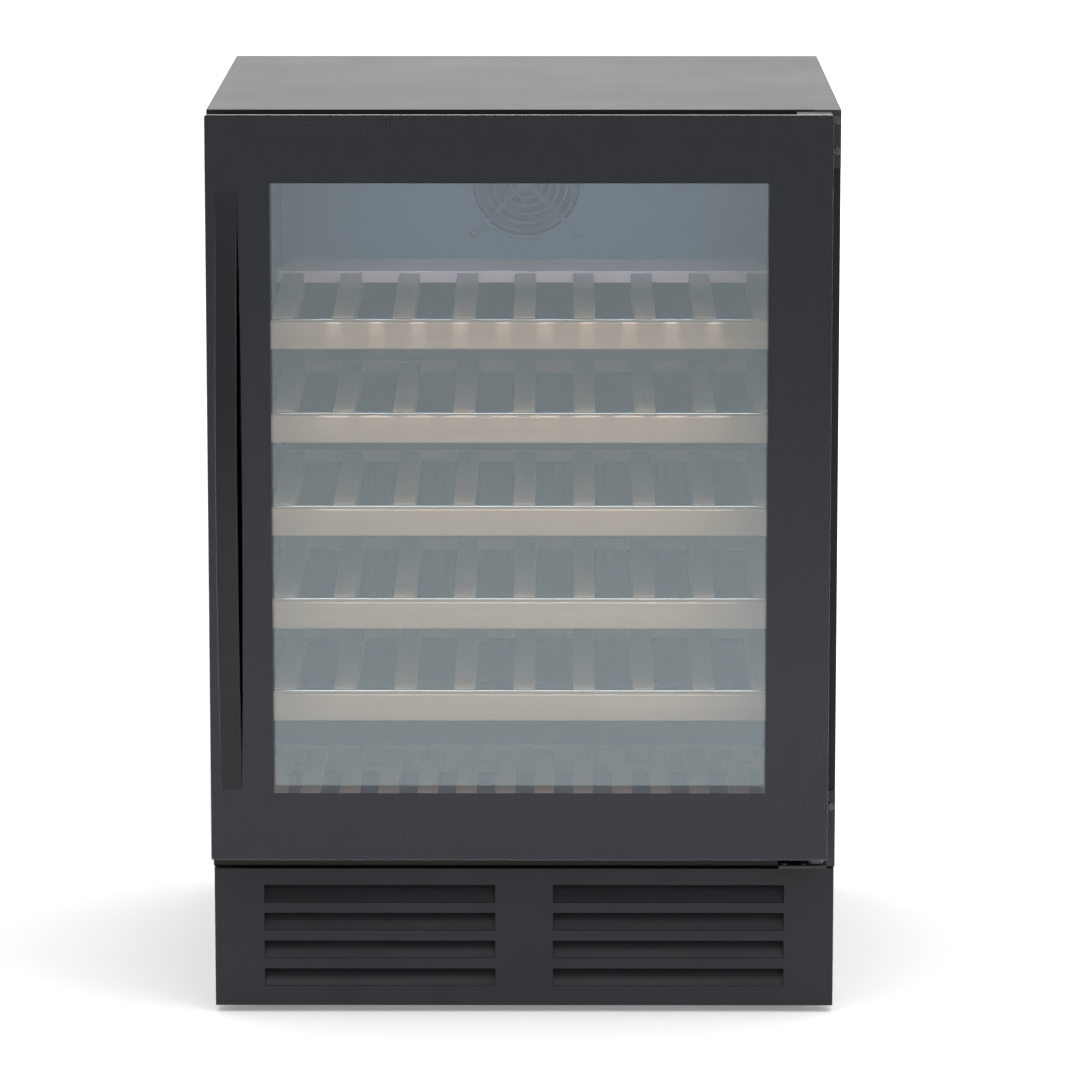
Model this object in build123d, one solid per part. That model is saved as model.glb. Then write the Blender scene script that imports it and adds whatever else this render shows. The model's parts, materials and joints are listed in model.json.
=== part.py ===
"""Under-counter wine cooler with one glass door, five sliding bottle shelves and a fan-cooled cavity.

Millimetres. X runs left to right, Y from the door (-) to the wall (+), Z up from the floor.
The origin is the bottom centre of the whole cooler, its handle included.
Every value below is a size of its own; places further down are worked out from them.
"""
import os
from math import sqrt

from build123d import *

# ---------------------------------------------------------------- overall sizes
overall_width = 595.0
overall_height = 870.0
cabinet_depth = 530.0       # front flange to back panel
door_stack = 45.0           # glass front to flange, the seal included
handle_reach = 46.0         # handle's furthest point in front of the glass

# ---------------------------------------------------------------- walls
sheet = 0.8                 # painted steel of the casing
pan_sheet = 1.2             # base pan
liner_wall = 2.0
side_insulation = 42.7
top_insulation = 35.2
back_insulation = 29.0
floor_insulation = 38.0
step_wall = 37.0            # insulation in front of the compressor
step_depth = 222.7          # compressor step, measured from the liner's back
step_height = 84.0
duct_depth = 26.0           # space for the evaporator behind the duct cover
duct_wall = 2.5
body_gap = 0.4              # between pieces that move apart
shaft_gap = 0.05            # radial, between a shaft and its bore

# ---------------------------------------------------------------- plinth and base
foot_height = 15.0
foot_pad_radius = 20.0
foot_pad_height = 9.0
foot_stud_radius = 5.0
foot_travel = 20.0
foot_inset_x = 42.0
foot_inset_front = 50.0
foot_inset_back = 30.0
foot_nut_radius = 9.5
foot_pad_round = 1.5
foot_boss_wall = 4.0
foot_boss_cap = 4.0         # boss above the foot's full travel
foot_stud_short = 2.0       # stud's end below the boss top
pan_edge = 18.0             # the pan's upturned edge
grille_clearance = 7.0      # floor to grille
grille_height = 135.0
grille_proud = 7.0          # in front of the flange
grille_wall = 3.0
grille_depth = 20.0
grille_inset = 1.0          # narrower than the casing, each side
grille_corner = 1.5
slot_height = 17.2
slot_pitch = 27.45
slot_rows = 4
slot_top_margin = 16.3
slot_inner = 27.7           # slot ends, from the middle of the grille
slot_outer = 249.0
louvre_wall = 2.0
louvre_rake = 11.0          # how far a louvre leans back over a slot's height
louvre_setback = 1.0        # louvre behind the grille's face
louvre_lap = 1.0            # louvre top below its slot's top
louvre_foot = (0.5, 3.0)    # louvre's lower edge below its slot, front and back
louvre_rib = 3.0            # rib at each end of a slot group
louvre_rib_depth = 14.5
pan_gap = 1.2               # grille top to the sheet above it

# ---------------------------------------------------------------- door
door_right_inset = 8.8      # leaves the hinge brackets in sight
door_left_inset = 0.1
door_bottom_gap = 17.0      # grille top to door
door_top_gap = 0.5
glass_wall = 4.0
pane_space = 16.0
window_left = 60.3          # clear window, from the glass edges
window_right = 59.6
window_top = 64.1
window_bottom = 64.8
door_corner = 2.0
pane_cover = 17.0           # inner pane beyond the window
pane_cover_bottom = 24.0
pane_gap = 1.0              # inner pane to its frame
lip_overlap = 9.0           # frame lip over the inner pane
spacer_width = 7.0
frame_depth = 32.0
frame_inset = 5.5           # frame behind the glass edges
frame_side_inset = 2.0      # the same, at the hinge side
frame_bottom_inset = 4.5
seal_width = 14.0
seal_lap = 4.0              # seal over the flange's inner edge
seal_beside_liner = 13.0    # seal's outer edge beyond the lap
seal_above_liner = 9.0
seal_pin_gap = 3.5          # seal to the hinge pin
seal_skin = 2.5
seal_face = 3.0             # seal's face against the flange

# ---------------------------------------------------------------- hinges
hinge_from_glass_edge = 11.2
hinge_behind_front = 20.0
pin_radius = 4.0
pin_engagement = 17.0
bush_wall = 2.45
bush_length = 20.0
bush_flange = 8.0
hinge_plate = 3.0
bracket_wall = 2.5
bracket_leg_width = 25.0
upper_leg = 55.0
lower_leg = 77.0
lower_leg_drop = 8.0        # leg below the hinge plate
hinge_plate_left = 22.0     # plate beyond the pin
hinge_plate_right = 10.5    # less than the glass edge's way past the pin when open
hinge_plate_front = 10.0
lower_plate_left = 35.0
lower_plate_front = 12.5
pin_washer_gap = 0.4
lower_plate_drop = 11.5     # plate below the door frame
upper_plate_rise = 1.2
screw_radius = 2.0
screw_head_radius = 4.0
screw_head_height = 2.0
screw_inset = 4.5           # hinge screws, from the casing's side
rivet_radius = 3.5
rivet_height = 1.5
rivet_offsets = (-29.0, -11.0)
rivet_setback = 5.0         # in front of the pin

# ---------------------------------------------------------------- handle
handle_length = 570.0
handle_width = 20.0
handle_wall = 8.0
handle_from_edge = 20.5     # handle's middle, from the glass edge
handle_above_door = 69.0
handle_screw_radius = 2.0
handle_screw_inset = 23.0
handle_screw_bite = 5.0     # screw inside the handle
handle_screw_gap = 0.5      # radial, in the glass and the frame
handle_head_radius = 4.0
handle_head_height = 3.0
handle_head_depth = 20.0    # head's seat below the frame's back
handle_head_gap = 0.5

# ---------------------------------------------------------------- shelves
shelf_count = 5
shelf_first = 121.0         # cavity floor to the lowest shelf top
shelf_headroom = 167.0      # top shelf to the cavity ceiling
shelf_side_gap = 10.5
shelf_setback = 30.0        # shelf front behind the flange
strip_height = 26.0
strip_wall = 18.0
strip_round = 1.5
slat_count = 9
slat_width = 20.3
slat_wall = 12.5
slat_rise = 11.0            # slat tops climb this much towards the back
slat_end = 1.35             # outer slats inside the shelf's side
board_depth = 92.0
board_wall = 12.0
board_side_gap = 4.0
board_corner_x = 18.0
board_corner_y = 78.0
deck_depth = 262.0          # strip to rear board
rail_size = 7.5
rail_above_strip = 0.9      # the rail just shows behind the strip
slat_over_rail = 1.8
slat_nose = 8.0             # slat's sloped back end
slat_tail = 60.0            # slat under the rear board
runner_height = 10.0
runner_wall = 8.0
ledge_wall = 4.0
ledge_lip = 11.0
runner_gap = 2.5

# ---------------------------------------------------------------- bottom rack
rack_slats = 14
rack_slat_width = 19.4
rack_slat_pitch = 37.8
rack_slat_wall = 10.0
rack_rail_height = 6.0
rack_setback = 40.0         # behind the flange
rack_step_gap = 8.0
rack_side_gap = 1.5
rack_rail_width = 16.0
rack_rail_insets = (12.0, 30.0)   # rails from the slats' front and back ends
rack_end_wall = 6.0
rack_end_rise = 4.0

# ---------------------------------------------------------------- fans
fan_frame_size = 119.0
fan_frame_depth = 19.0
fan_radius = 53.0
fan_tip_gap = 2.0
fan_hub_radius = 19.0
fan_blades = 7
fan_blade_wall = 1.6
fan_blade_tilt = 32.0
fan_shaft_radius = 2.5
fan_boss_depth = 5.0
fan_stay_width = 5.0
fan_stay_depth = 3.0
fan_stay_inset = 2.0        # stay's ends inside the frame
fan_hub_inset = 2.0         # hub behind the frame's front
fan_blade_inset = 0.5       # blade inside each face of the hub
fan_blade_root = 4.0        # blade inside the hub's rim
fan_blade_lap = 2.185       # blade's chord over its depth
fan_shaft_inset = 0.5
fan_centre_drop = 85.0      # evaporator fan below the cavity ceiling
guard_radius = 60.0
guard_rings = 6
guard_wall = 3.5
guard_screw_spacing = 105.0
guard_hub = 9.0
guard_ring_wall = 2.4
guard_lug = 7.5
guard_lug_wall = 2.5
guard_spoke = 4.0
guard_spoke_setback = 0.5
guard_tie = 12.0

# ---------------------------------------------------------------- light and controls
light_width = 430.0
light_depth = 62.0
light_height = 12.0
light_setback = 7.0         # behind the flange
led_count = 10
led_pitch = 40.0
led_size = 5.0
led_height = 1.6
led_setback = 9.0           # lamps behind the housing's front
led_board = 1.5
led_board_width = 8.0
led_board_short = 6.0       # board's ends inside the housing
gutter_width = 12.0
gutter_short = 4.0
gutter_depth = 4.0
control_seat = 1.5
control_proud = 0.5
touch_radius = 5.0
touch_depth = 0.3
touch_spots = (-46.0, -23.0, 23.0, 46.0)
display_size = (24.0, 14.0)
display_depth = 0.4

# ---------------------------------------------------------------- machine room
vent_rows = 7
vent_columns = (-15.0, 105.0, 225.0)
vent_length = 80.0
vent_height = 6.0
vent_pitch = 18.0
vent_low = 60.0             # lowest vent above the cover's foot
compressor_radius = 68.0
compressor_height = 150.0
compressor_x = 120.0
compressor_wall = 3.0
mount_height = 11.0
room_air = 3.0              # air round a machine in its room
pipe_radius = 3.0
drain_radius = 8.0
drain_wall = 1.5
tray_wall = 2.5
sleeve_radius = 9.0
sleeve_hole = 4.0
sleeve_rise = 2.0           # sleeve above the foot plate
foot_plate_wall = 3.0
foot_plate_lap = 16.0       # plate beyond the shell
foot_plate_half = 60.0
sleeve_spread = (4.0, 48.0)  # beyond the shell in X, from the middle in Y
shell_dome = 0.35           # dome radius as a share of the shell's
pump_share = 0.62           # pump over shell, across and upright

# ---------------------------------------------------------------- worked out from the sizes above
half = overall_width / 2
y_back = (cabinet_depth + door_stack + handle_reach) / 2
y_flange = y_back - cabinet_depth
y_door = y_flange - door_stack
side_wall = sheet + side_insulation
liner_out = half - side_wall
cavity_half = liner_out - liner_wall
grille_top = grille_clearance + grille_height
deck_low = grille_top + pan_gap
cavity_floor = deck_low + sheet + floor_insulation + liner_wall
cavity_roof = overall_height - sheet - top_insulation - liner_wall
y_liner_back = y_back - sheet - back_insulation - liner_wall
y_duct = y_liner_back - duct_depth
y_step = y_liner_back - step_depth
y_room = y_step + liner_wall + step_wall
step_top = cavity_floor + step_height
room_roof = step_top - liner_wall - floor_insulation
y_grille = y_flange - grille_proud
y_plinth = y_grille + grille_depth

glass_x = (-half + door_left_inset, half - door_right_inset)
glass_z = (grille_top + door_bottom_gap, overall_height - door_top_gap)
window_x = (glass_x[0] + window_left, glass_x[1] - window_right)
window_z = (glass_z[0] + window_bottom, glass_z[1] - window_top)
pane_x = (window_x[0] - pane_cover, window_x[1] + pane_cover)
pane_z = (window_z[0] - pane_cover_bottom, window_z[1] + pane_cover)
y_glass_back = y_door + glass_wall
y_pane = y_glass_back + pane_space
y_pane_back = y_pane + glass_wall
y_frame_back = y_glass_back + frame_depth
frame_x = (glass_x[0] + frame_inset, glass_x[1] - frame_side_inset)
frame_z = (glass_z[0] + frame_bottom_inset, glass_z[1] - frame_inset)
hinge_x = glass_x[1] - hinge_from_glass_edge
hinge_y = y_door + hinge_behind_front


def block(x, y, z):
    """A box between three pairs of low and high."""
    low_high = (x, y, z)
    size = [high - low for low, high in low_high]
    middle = [(high + low) / 2 for low, high in low_high]
    return Pos(*middle) * Box(*size)


def either_side(low, high):
    """The X ranges of a piece and of its mirror image."""
    return ((-high, -low), (low, high))


def post(radius, x, y, z):
    """An upright cylinder between two heights."""
    return Pos(x, y, sum(z) / 2) * Cylinder(radius, z[1] - z[0])


def axle(radius, x, y, z):
    """A cylinder that lies front to back."""
    return Pos(x, sum(y) / 2, z) * Rot(90, 0, 0) * Cylinder(radius, y[1] - y[0])


def bar(radius, x, y, z):
    """A cylinder that lies left to right."""
    return Pos(sum(x) / 2, y, z) * Rot(0, 90, 0) * Cylinder(radius, x[1] - x[0])


def ring(outer_x, outer_z, inner_x, inner_z, y):
    """A rectangular picture frame that faces the front."""
    return block(outer_x, y, outer_z) - block(inner_x, (y[0] - 1, y[1] + 1), inner_z)


def grown(pair, by):
    return (pair[0] - by, pair[1] + by)


def solids(*shapes):
    """Separate pieces in one node."""
    return Compound(children=[s for shape in shapes for s in shape.solids()])


# ================================================================ casing
def side_panel(sign):
    edge = sorted((sign * half, sign * (half - sheet)))
    flange = sorted((sign * half, sign * liner_out))
    panel = block(edge, (y_flange, y_back), (foot_height, overall_height))
    panel += block(flange, (y_flange, y_flange + sheet), (deck_low, overall_height - sheet))
    recess = block(grown(edge, 1), (y_flange - 1, y_plinth + body_gap), (0, deck_low))
    return panel - recess


def top_panel():
    inside = half - sheet
    lid = block((-inside, inside), (y_flange, y_back), (overall_height - sheet, overall_height))
    lip = block((-liner_out, liner_out), (y_flange, y_flange + sheet),
                (cavity_roof + liner_wall, overall_height - sheet))
    return lid + lip


def back_panel():
    inside = half - sheet
    return block((-inside, inside), (y_back - sheet, y_back), (room_roof, overall_height - sheet))


def machine_room_ceiling():
    """Bent sheet under the insulation: front sill, level run, riser and the run over the compressor."""
    inside = half - sheet
    across = (-inside, inside)
    sill_top = deck_low + sheet + floor_insulation
    sheet_metal = block((-liner_out, liner_out), (y_flange, y_flange + sheet), (deck_low, sill_top))
    sheet_metal += block(across, (y_flange + sheet, y_room + sheet), (deck_low, deck_low + sheet))
    sheet_metal += block(across, (y_room, y_room + sheet), (deck_low, room_roof))
    sheet_metal += block(across, (y_room, y_back - sheet), (room_roof - sheet, room_roof))
    return sheet_metal - drain_run(drain_radius)


pan_front = y_plinth + body_gap
pan_half = half - sheet - body_gap
foot_places = [(sx * (half - foot_inset_x), y) for sx in (-1, 1)
               for y in (y_flange + foot_inset_front, y_back - foot_inset_back)]
boss_radius = foot_stud_radius + foot_boss_wall
boss_height = foot_travel + foot_boss_cap


def base_pan():
    """Shallow steel tray with an upturned edge and four threaded bosses for the feet."""
    pan = block((-pan_half, pan_half), (pan_front, y_back - sheet - body_gap),
                (foot_height, foot_height + pan_edge))
    pan -= block(grown((-pan_half, pan_half), -pan_sheet),
                 (pan_front + pan_sheet, y_back - sheet - body_gap - pan_sheet),
                 (foot_height + pan_sheet, foot_height + pan_edge + 1))
    for x, y in foot_places:
        pan += post(boss_radius, x, y, (foot_height, foot_height + boss_height))
        pan -= post(foot_stud_radius + shaft_gap, x, y, (0, foot_height + boss_height + 1))
    return pan


def rear_cover():
    """Plate that closes the machine room at the back, with air slots and an inlet opening."""
    plate = block((-pan_half, pan_half), (y_back - sheet, y_back), (foot_height, room_roof - body_gap))
    for row in range(vent_rows):
        z = foot_height + vent_low + vent_pitch * row
        for middle in vent_columns:
            plate -= block(grown((middle, middle), vent_length / 2), (y_back - 5, y_back + 5),
                           (z, z + vent_height))
    plate -= block(inlet_x, (y_back - 5, y_back + 5), inlet_z)
    return plate


inlet_x = (-230.0, -202.0)
inlet_z = (70.0, 92.0)
inlet_body = 28.0
inlet_recess = 16.0
inlet_wall = 2.0
inlet_mouth = 7.0           # blade ends, below the mouth
blade_wall = 2.0
blade_height = 6.0
blade_places = ((-6.0, -2.0), (6.0, -2.0), (0.0, 3.0))


def mains_inlet():
    """Three-pin appliance inlet: flanged body with a recess and three blades."""
    body = block(inlet_x, (y_back - inlet_body, y_back), inlet_z)
    body -= block(grown(inlet_x, -inlet_wall), (y_back - inlet_recess, y_back + 1),
                  grown(inlet_z, -inlet_wall))
    blades = []
    for dx, dz in blade_places:
        x = sum(inlet_x) / 2 + dx
        z = sum(inlet_z) / 2 + dz
        blades.append(block(grown((x, x), blade_wall / 2), (y_back - inlet_recess, y_back - inlet_mouth),
                            grown((z, z), blade_height / 2)))
    return solids(body, *blades)


# ================================================================ insulation and liner
def insulation():
    """Foam slabs that fill the walls, each a plain block."""
    y_front = y_flange + sheet
    y_foam_back = y_liner_back + liner_wall
    foam_low = deck_low + sheet
    slabs = []
    for x in either_side(liner_out, half - sheet):
        slabs.append(block(x, (y_front, y_room), (foam_low, room_roof)))
        slabs.append(block(x, (y_front, y_foam_back), (room_roof, overall_height - sheet)))
    across = (-liner_out, liner_out)
    slabs.append(block(across, (y_front, y_foam_back),
                       (cavity_roof + liner_wall, overall_height - sheet)))
    slabs.append(block(across, (y_front, y_room), (foam_low, cavity_floor - liner_wall)))
    slabs.append(block(across, (y_step + liner_wall, y_room), (cavity_floor - liner_wall, room_roof)))
    slabs.append(block(across, (y_step + liner_wall, y_foam_back), (room_roof, step_top - liner_wall))
                 - drain_run(drain_radius))
    slabs.append(block((-half + sheet, half - sheet), (y_foam_back, y_back - sheet),
                       (room_roof, overall_height - sheet)))
    return solids(*slabs)


def cavity(by):
    """The stepped inside of the cabinet, grown by a wall."""
    room = block((-cavity_half - by, cavity_half + by), (y_flange, y_liner_back + by),
                 (cavity_floor - by, cavity_roof + by))
    return room - block((-half, half), (y_step + by, y_back), (0, step_top - by))


def inner_liner():
    return cavity(liner_wall) - cavity(0) - drain_run(drain_radius)


# ================================================================ cold side
duct_half = cavity_half - 2.0
fan_z = cavity_roof - fan_centre_drop
y_coil = (y_duct + duct_wall + 2.0, y_liner_back - 2.0)
coil_x = (-185.0, 185.0)
coil_height = 130.0
coil_below_fan = 89.5
coil_top = fan_z - fan_frame_size / 2 - coil_below_fan
coil_z = (coil_top - coil_height, coil_top)
coil_rows = 5
coil_tube = 4.0
coil_fins = 24
coil_fin_inset = 8.0        # end fins from the tubes' ends
bend_inset = 0.5            # bend slimmer than its tube
fin_wall = 0.6
drain_x = -150.0
y_drain = sum(y_coil) / 2
slit_count = 35
slit_pitch = 10.8
slit_width = 5.0
slit_shift = -7.5           # the row's middle, left of the cooler's
slit_z = (step_top + 49.0, step_top + 190.0)


def drain_run(radius):
    """Where the drain tube passes from the duct to the tray."""
    return post(radius, drain_x, y_drain, (tray_z[1] - 8, step_top + 6))


def duct_cover():
    """Panel in front of the evaporator, with a fan hole and upright return slits."""
    panel = block((-duct_half, duct_half), (y_duct, y_liner_back), (step_top, cavity_roof))
    panel -= block(grown((-duct_half, duct_half), -duct_wall), (y_duct + duct_wall, y_back),
                   (step_top - 1, cavity_roof + 1))
    panel -= axle(fan_radius + fan_tip_gap, 0, (y_duct - 1, y_duct + duct_wall + 1), fan_z)
    for k in range(slit_count):
        x = (k - (slit_count - 1) / 2) * slit_pitch + slit_shift
        panel -= block((x - slit_width / 2, x + slit_width / 2), (y_duct - 1, y_duct + duct_wall + 1),
                       slit_z)
    return panel


def fan_guard():
    """Round guard of concentric rings on four spokes, with corner lugs for its screws."""
    y = (y_duct - guard_wall, y_duct)
    step = (guard_radius - guard_hub) / guard_rings
    guard = axle(guard_hub, 0, y, fan_z)
    for k in range(1, guard_rings + 1):
        outer = guard_hub + step * k
        guard += axle(outer, 0, y, fan_z) - axle(outer - guard_ring_wall, 0, grown(y, 1), fan_z)
    arm = block((-guard_spoke / 2, guard_spoke / 2), (y[0] + guard_spoke_setback, y[1]),
                (-guard_radius + 1, guard_radius - 1))
    for angle in (45, 135):
        guard += Pos(0, 0, fan_z) * Rot(0, angle, 0) * arm
    spread = guard_screw_spacing / 2
    for sx in (-1, 1):
        for sz in (-1, 1):
            y_lug = (y[1] - guard_lug_wall, y[1])
            lug = axle(guard_lug, sx * spread, y_lug, fan_z + sz * spread)
            reach = sorted((sx * (guard_radius - guard_ring_wall), sx * spread * sqrt(2)))
            tie = Pos(0, 0, fan_z) * Rot(0, -sx * sz * 45, 0) * block(
                reach, y_lug, (-guard_tie / 2, guard_tie / 2))
            guard += lug + tie
            guard -= axle(screw_radius, sx * spread, grown(y, 1), fan_z + sz * spread)
    return guard


def fan_frame(y_low):
    """Square fan housing with a round throat, four stays and a bearing boss, centred on X = Z = 0."""
    size = fan_frame_size / 2
    y = (y_low, y_low + fan_frame_depth)
    y_boss = (y[1] - fan_boss_depth, y[1])
    frame = block((-size, size), y, (-size, size)) - axle(fan_radius + fan_tip_gap, 0, grown(y, 1), 0)
    stay = block(grown((-size, size), -fan_stay_inset), (y[1] - fan_stay_depth, y[1]),
                 (-fan_stay_width / 2, fan_stay_width / 2))
    for angle in (45, 135):
        frame += Rot(0, angle, 0) * stay
    frame += axle(fan_hub_radius, 0, y_boss, 0)
    return frame - axle(fan_shaft_radius + shaft_gap, 0, (y_boss[0] - 1, y_boss[1] + 1), 0)


def fan_rotor(y_low):
    """Hub, tilted blades and shaft of a fan, centred on X = Z = 0."""
    hub_y = (y_low + fan_hub_inset, y_low + fan_frame_depth - fan_boss_depth - body_gap * 2)
    middle = sum(hub_y) / 2
    blade_depth = hub_y[1] - hub_y[0] - 2 * fan_blade_inset
    rotor = axle(fan_hub_radius, 0, hub_y, 0)
    root = fan_hub_radius - fan_blade_root
    span = fan_radius - root
    for k in range(fan_blades):
        blade = Pos(0, middle, root + span / 2) * Rot(0, 0, fan_blade_tilt) * Box(
            blade_depth * fan_blade_lap, fan_blade_wall, span)
        rotor += Rot(0, 360 * k / fan_blades, 0) * blade
    rotor &= axle(fan_radius, 0, hub_y, 0)
    return rotor + axle(fan_shaft_radius, 0, (middle, y_low + fan_frame_depth - fan_shaft_inset), 0)


def evaporator():
    """Finned tube coil: level tubes joined by return bends, through upright fins."""
    z_step = coil_height / coil_rows
    heights = [coil_z[0] + z_step * (k + 0.5) for k in range(coil_rows)]
    coil = [bar(coil_tube, coil_x, y_drain, z) for z in heights]
    slim = coil_tube - bend_inset
    for k in range(coil_rows - 1):
        end = coil_x[k % 2 == 0]
        sign = 1 if k % 2 == 0 else -1
        x = sorted((end, end + sign * 3 * coil_tube))
        bend = block(x, grown((y_drain, y_drain), slim), grown((heights[k], heights[k + 1]), slim))
        bend -= block(sorted((end - sign, end + sign * coil_tube)), grown(y_coil, 1),
                      grown((heights[k], heights[k + 1]), -slim))
        coil.append(bend)
    fins = []
    first, last = grown(coil_x, -coil_fin_inset)
    for k in range(coil_fins):
        x = first + k * (last - first) / (coil_fins - 1)
        fin = block(grown((x, x), fin_wall / 2), y_coil, coil_z)
        for z in heights:
            fin -= bar(coil_tube, (x - 1, x + 1), y_drain, z)
        fins.append(fin)
    whole = coil[0]
    for piece in coil[1:]:
        whole += piece
    return solids(whole, *fins)


# ================================================================ light and controls
y_light = (y_flange + light_setback, y_flange + light_setback + light_depth)
light_z = (cavity_roof - light_height, cavity_roof)
y_led = y_light[0] + led_setback


def light_housing():
    box = block((-light_width / 2, light_width / 2), y_light, light_z)
    gutter = block(grown((-light_width / 2, light_width / 2), -gutter_short),
                   grown((y_led, y_led), gutter_width / 2), (light_z[0] - 1, light_z[0] + gutter_depth))
    panel_seat = block(control_x, control_y, (light_z[0] - 1, light_z[0] + control_seat))
    return box - gutter - panel_seat


control_x = (-62.0, 62.0)
control_inset = 24.0
control_depth = 26.0
control_y = (y_light[0] + control_inset, y_light[0] + control_inset + control_depth)


def control_panel():
    """Dark touch panel in the light housing: display window and four touch fields."""
    face = light_z[0] - control_proud
    panel = block(control_x, control_y, (face, light_z[0] + control_seat))
    middle = sum(control_y) / 2
    for x in touch_spots:
        panel -= post(touch_radius, x, middle, (face - 1, face + touch_depth))
    return panel - block(grown((0, 0), display_size[0] / 2), grown((middle, middle), display_size[1] / 2),
                         (face - 1, face + display_depth))


def led_strip():
    """Narrow board with square lamps in a row."""
    board_z = (light_z[0] + gutter_depth - led_board, light_z[0] + gutter_depth)
    strip = block(grown((-light_width / 2, light_width / 2), -led_board_short),
                  grown((y_led, y_led), led_board_width / 2), board_z)
    for k in range(led_count):
        x = (k - (led_count - 1) / 2) * led_pitch
        strip += block((x - led_size / 2, x + led_size / 2), (y_led - led_size / 2, y_led + led_size / 2),
                       (board_z[0] - led_height, board_z[0]))
    return strip


# ================================================================ plinth grille
def plinth_grille():
    """Moulded front with two groups of slots, a raked louvre behind each."""
    wide = half - grille_inset
    z = (grille_clearance, grille_top)
    front = block((-wide, wide), (y_grille, y_plinth), z)
    upright = front.edges().filter_by(Axis.Z).sort_by(Axis.Y)[:2]
    front = fillet(upright, grille_corner)
    front -= block((-wide + grille_wall, wide - grille_wall), (y_grille + grille_wall, y_plinth + 1),
                   grown(z, -grille_wall))
    blades = []
    for row in range(slot_rows):
        top = z[1] - slot_top_margin - slot_pitch * row
        low = top - slot_height
        for x in either_side(slot_inner, slot_outer):
            front -= block(x, (y_grille - 1, y_grille + grille_wall), (low, top))
            blade_x = grown(x, louvre_rib)
            y_low = y_grille + louvre_setback
            y_high = y_low + louvre_rake
            section = Plane.YZ * Polygon(
                (y_low, low - louvre_foot[0]), (y_low + louvre_wall, low - louvre_foot[1]),
                (y_high + louvre_wall, top - louvre_lap), (y_high, top - louvre_lap), align=None)
            blades.append(Pos(blade_x[0], 0, 0) * extrude(section, blade_x[1] - blade_x[0], dir=(1, 0, 0)))
    for x in (-slot_outer, -slot_inner, slot_inner, slot_outer):
        sign = 1 if abs(x) == slot_outer else -1
        outward = sign * (1 if x > 0 else -1)
        rib = sorted((x, x + outward * louvre_rib))
        blades.append(block(rib, (y_grille + grille_wall, y_grille + louvre_rib_depth),
                            (z[0] + grille_wall, z[1] - grille_wall)))
    for blade in blades:
        front += blade
    return front


# ================================================================ door
def corner_rounded(x, y, z, radius):
    slab = block(x, y, z)
    return fillet(slab.edges().filter_by(Axis.Y), radius)


handle_x = glass_x[0] + handle_from_edge
handle_z = (glass_z[0] + handle_above_door, glass_z[0] + handle_above_door + handle_length)
screw_heights = (handle_z[0] + handle_screw_inset, handle_z[1] - handle_screw_inset)


def outer_glass():
    pane = corner_rounded(glass_x, (y_door, y_glass_back), glass_z, door_corner)
    for z in screw_heights:
        pane -= axle(handle_screw_radius + handle_screw_gap, handle_x, (y_door - 1, y_glass_back + 1), z)
    return pane


def inner_glass():
    return block(pane_x, (y_pane, y_pane_back), pane_z)


def glass_spacer():
    return ring(pane_x, pane_z, grown(pane_x, -spacer_width), grown(pane_z, -spacer_width),
                (y_glass_back, y_pane))


def door_frame():
    """Frame behind the glass that holds both panes, the hinge bushes and the seal."""
    frame = block(frame_x, (y_glass_back, y_frame_back), frame_z)
    seat_x = grown(pane_x, pane_gap)
    seat_z = grown(pane_z, pane_gap)
    frame -= block(seat_x, (y_glass_back - 1, y_pane_back), seat_z)
    frame -= block(grown(pane_x, -lip_overlap), (y_glass_back, y_frame_back + 1), grown(pane_z, -lip_overlap))
    for z in screw_heights:
        frame -= axle(handle_screw_radius + handle_screw_gap, handle_x,
                      (y_glass_back - 1, y_frame_back + 1), z)
        frame -= axle(handle_head_radius + handle_head_gap, handle_x,
                      (y_frame_back - handle_head_depth, y_frame_back + 1), z)
    bush = pin_radius + shaft_gap + bush_wall
    frame -= post(bush, hinge_x, hinge_y, (frame_z[0] - 1, frame_z[0] + bush_length))
    frame -= post(bush, hinge_x, hinge_y, (frame_z[1] - bush_length, frame_z[1] + 1))
    return frame


def door_seal():
    """Magnetic seal round the frame's back: a base rib and a hollow bellows."""
    outer_half = liner_out + seal_lap + seal_beside_liner
    x = (-outer_half, min(outer_half, hinge_x - pin_radius - seal_pin_gap))
    z = (cavity_floor - liner_wall - seal_lap - seal_above_liner,
         cavity_roof + liner_wall + seal_lap + seal_above_liner)
    seal = ring(x, z, grown(x, -seal_width), grown(z, -seal_width),
                (y_frame_back, y_flange - body_gap))
    inner = seal_skin - seal_width
    groove = ring(grown(x, -seal_skin), grown(z, -seal_skin), grown(x, inner), grown(z, inner),
                  (y_frame_back + seal_skin, y_flange - body_gap - seal_face))
    return seal - groove


def door_handle():
    """Flat bar bent to one long arc, its two ends flat on the glass."""
    chord = handle_length / 2
    outer = (chord ** 2 + handle_reach ** 2) / (2 * handle_reach)
    centre_y = y_door - handle_reach + outer
    centre_z = sum(handle_z) / 2
    across = (handle_x - handle_width / 2, handle_x + handle_width / 2)
    arc = bar(outer, across, centre_y, centre_z)
    arc -= bar(outer - handle_wall, grown(across, 1), centre_y, centre_z)
    bow = arc & block(grown(across, 1), (y_door - handle_reach - 1, y_door), grown(handle_z, 1))
    for z in screw_heights:
        bow -= axle(handle_screw_radius, handle_x, (y_door - handle_screw_bite, y_door + 1), z)
    return bow


def handle_screws():
    """Two screws from behind the frame, through the glass, into the handle."""
    y_seat = y_frame_back - handle_head_depth
    screws = []
    for z in screw_heights:
        shank = axle(handle_screw_radius, handle_x, (y_door - handle_screw_bite, y_seat), z)
        head = axle(handle_head_radius, handle_x, (y_seat, y_seat + handle_head_height), z)
        screws.append(shank + head)
    return solids(*screws)


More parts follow.
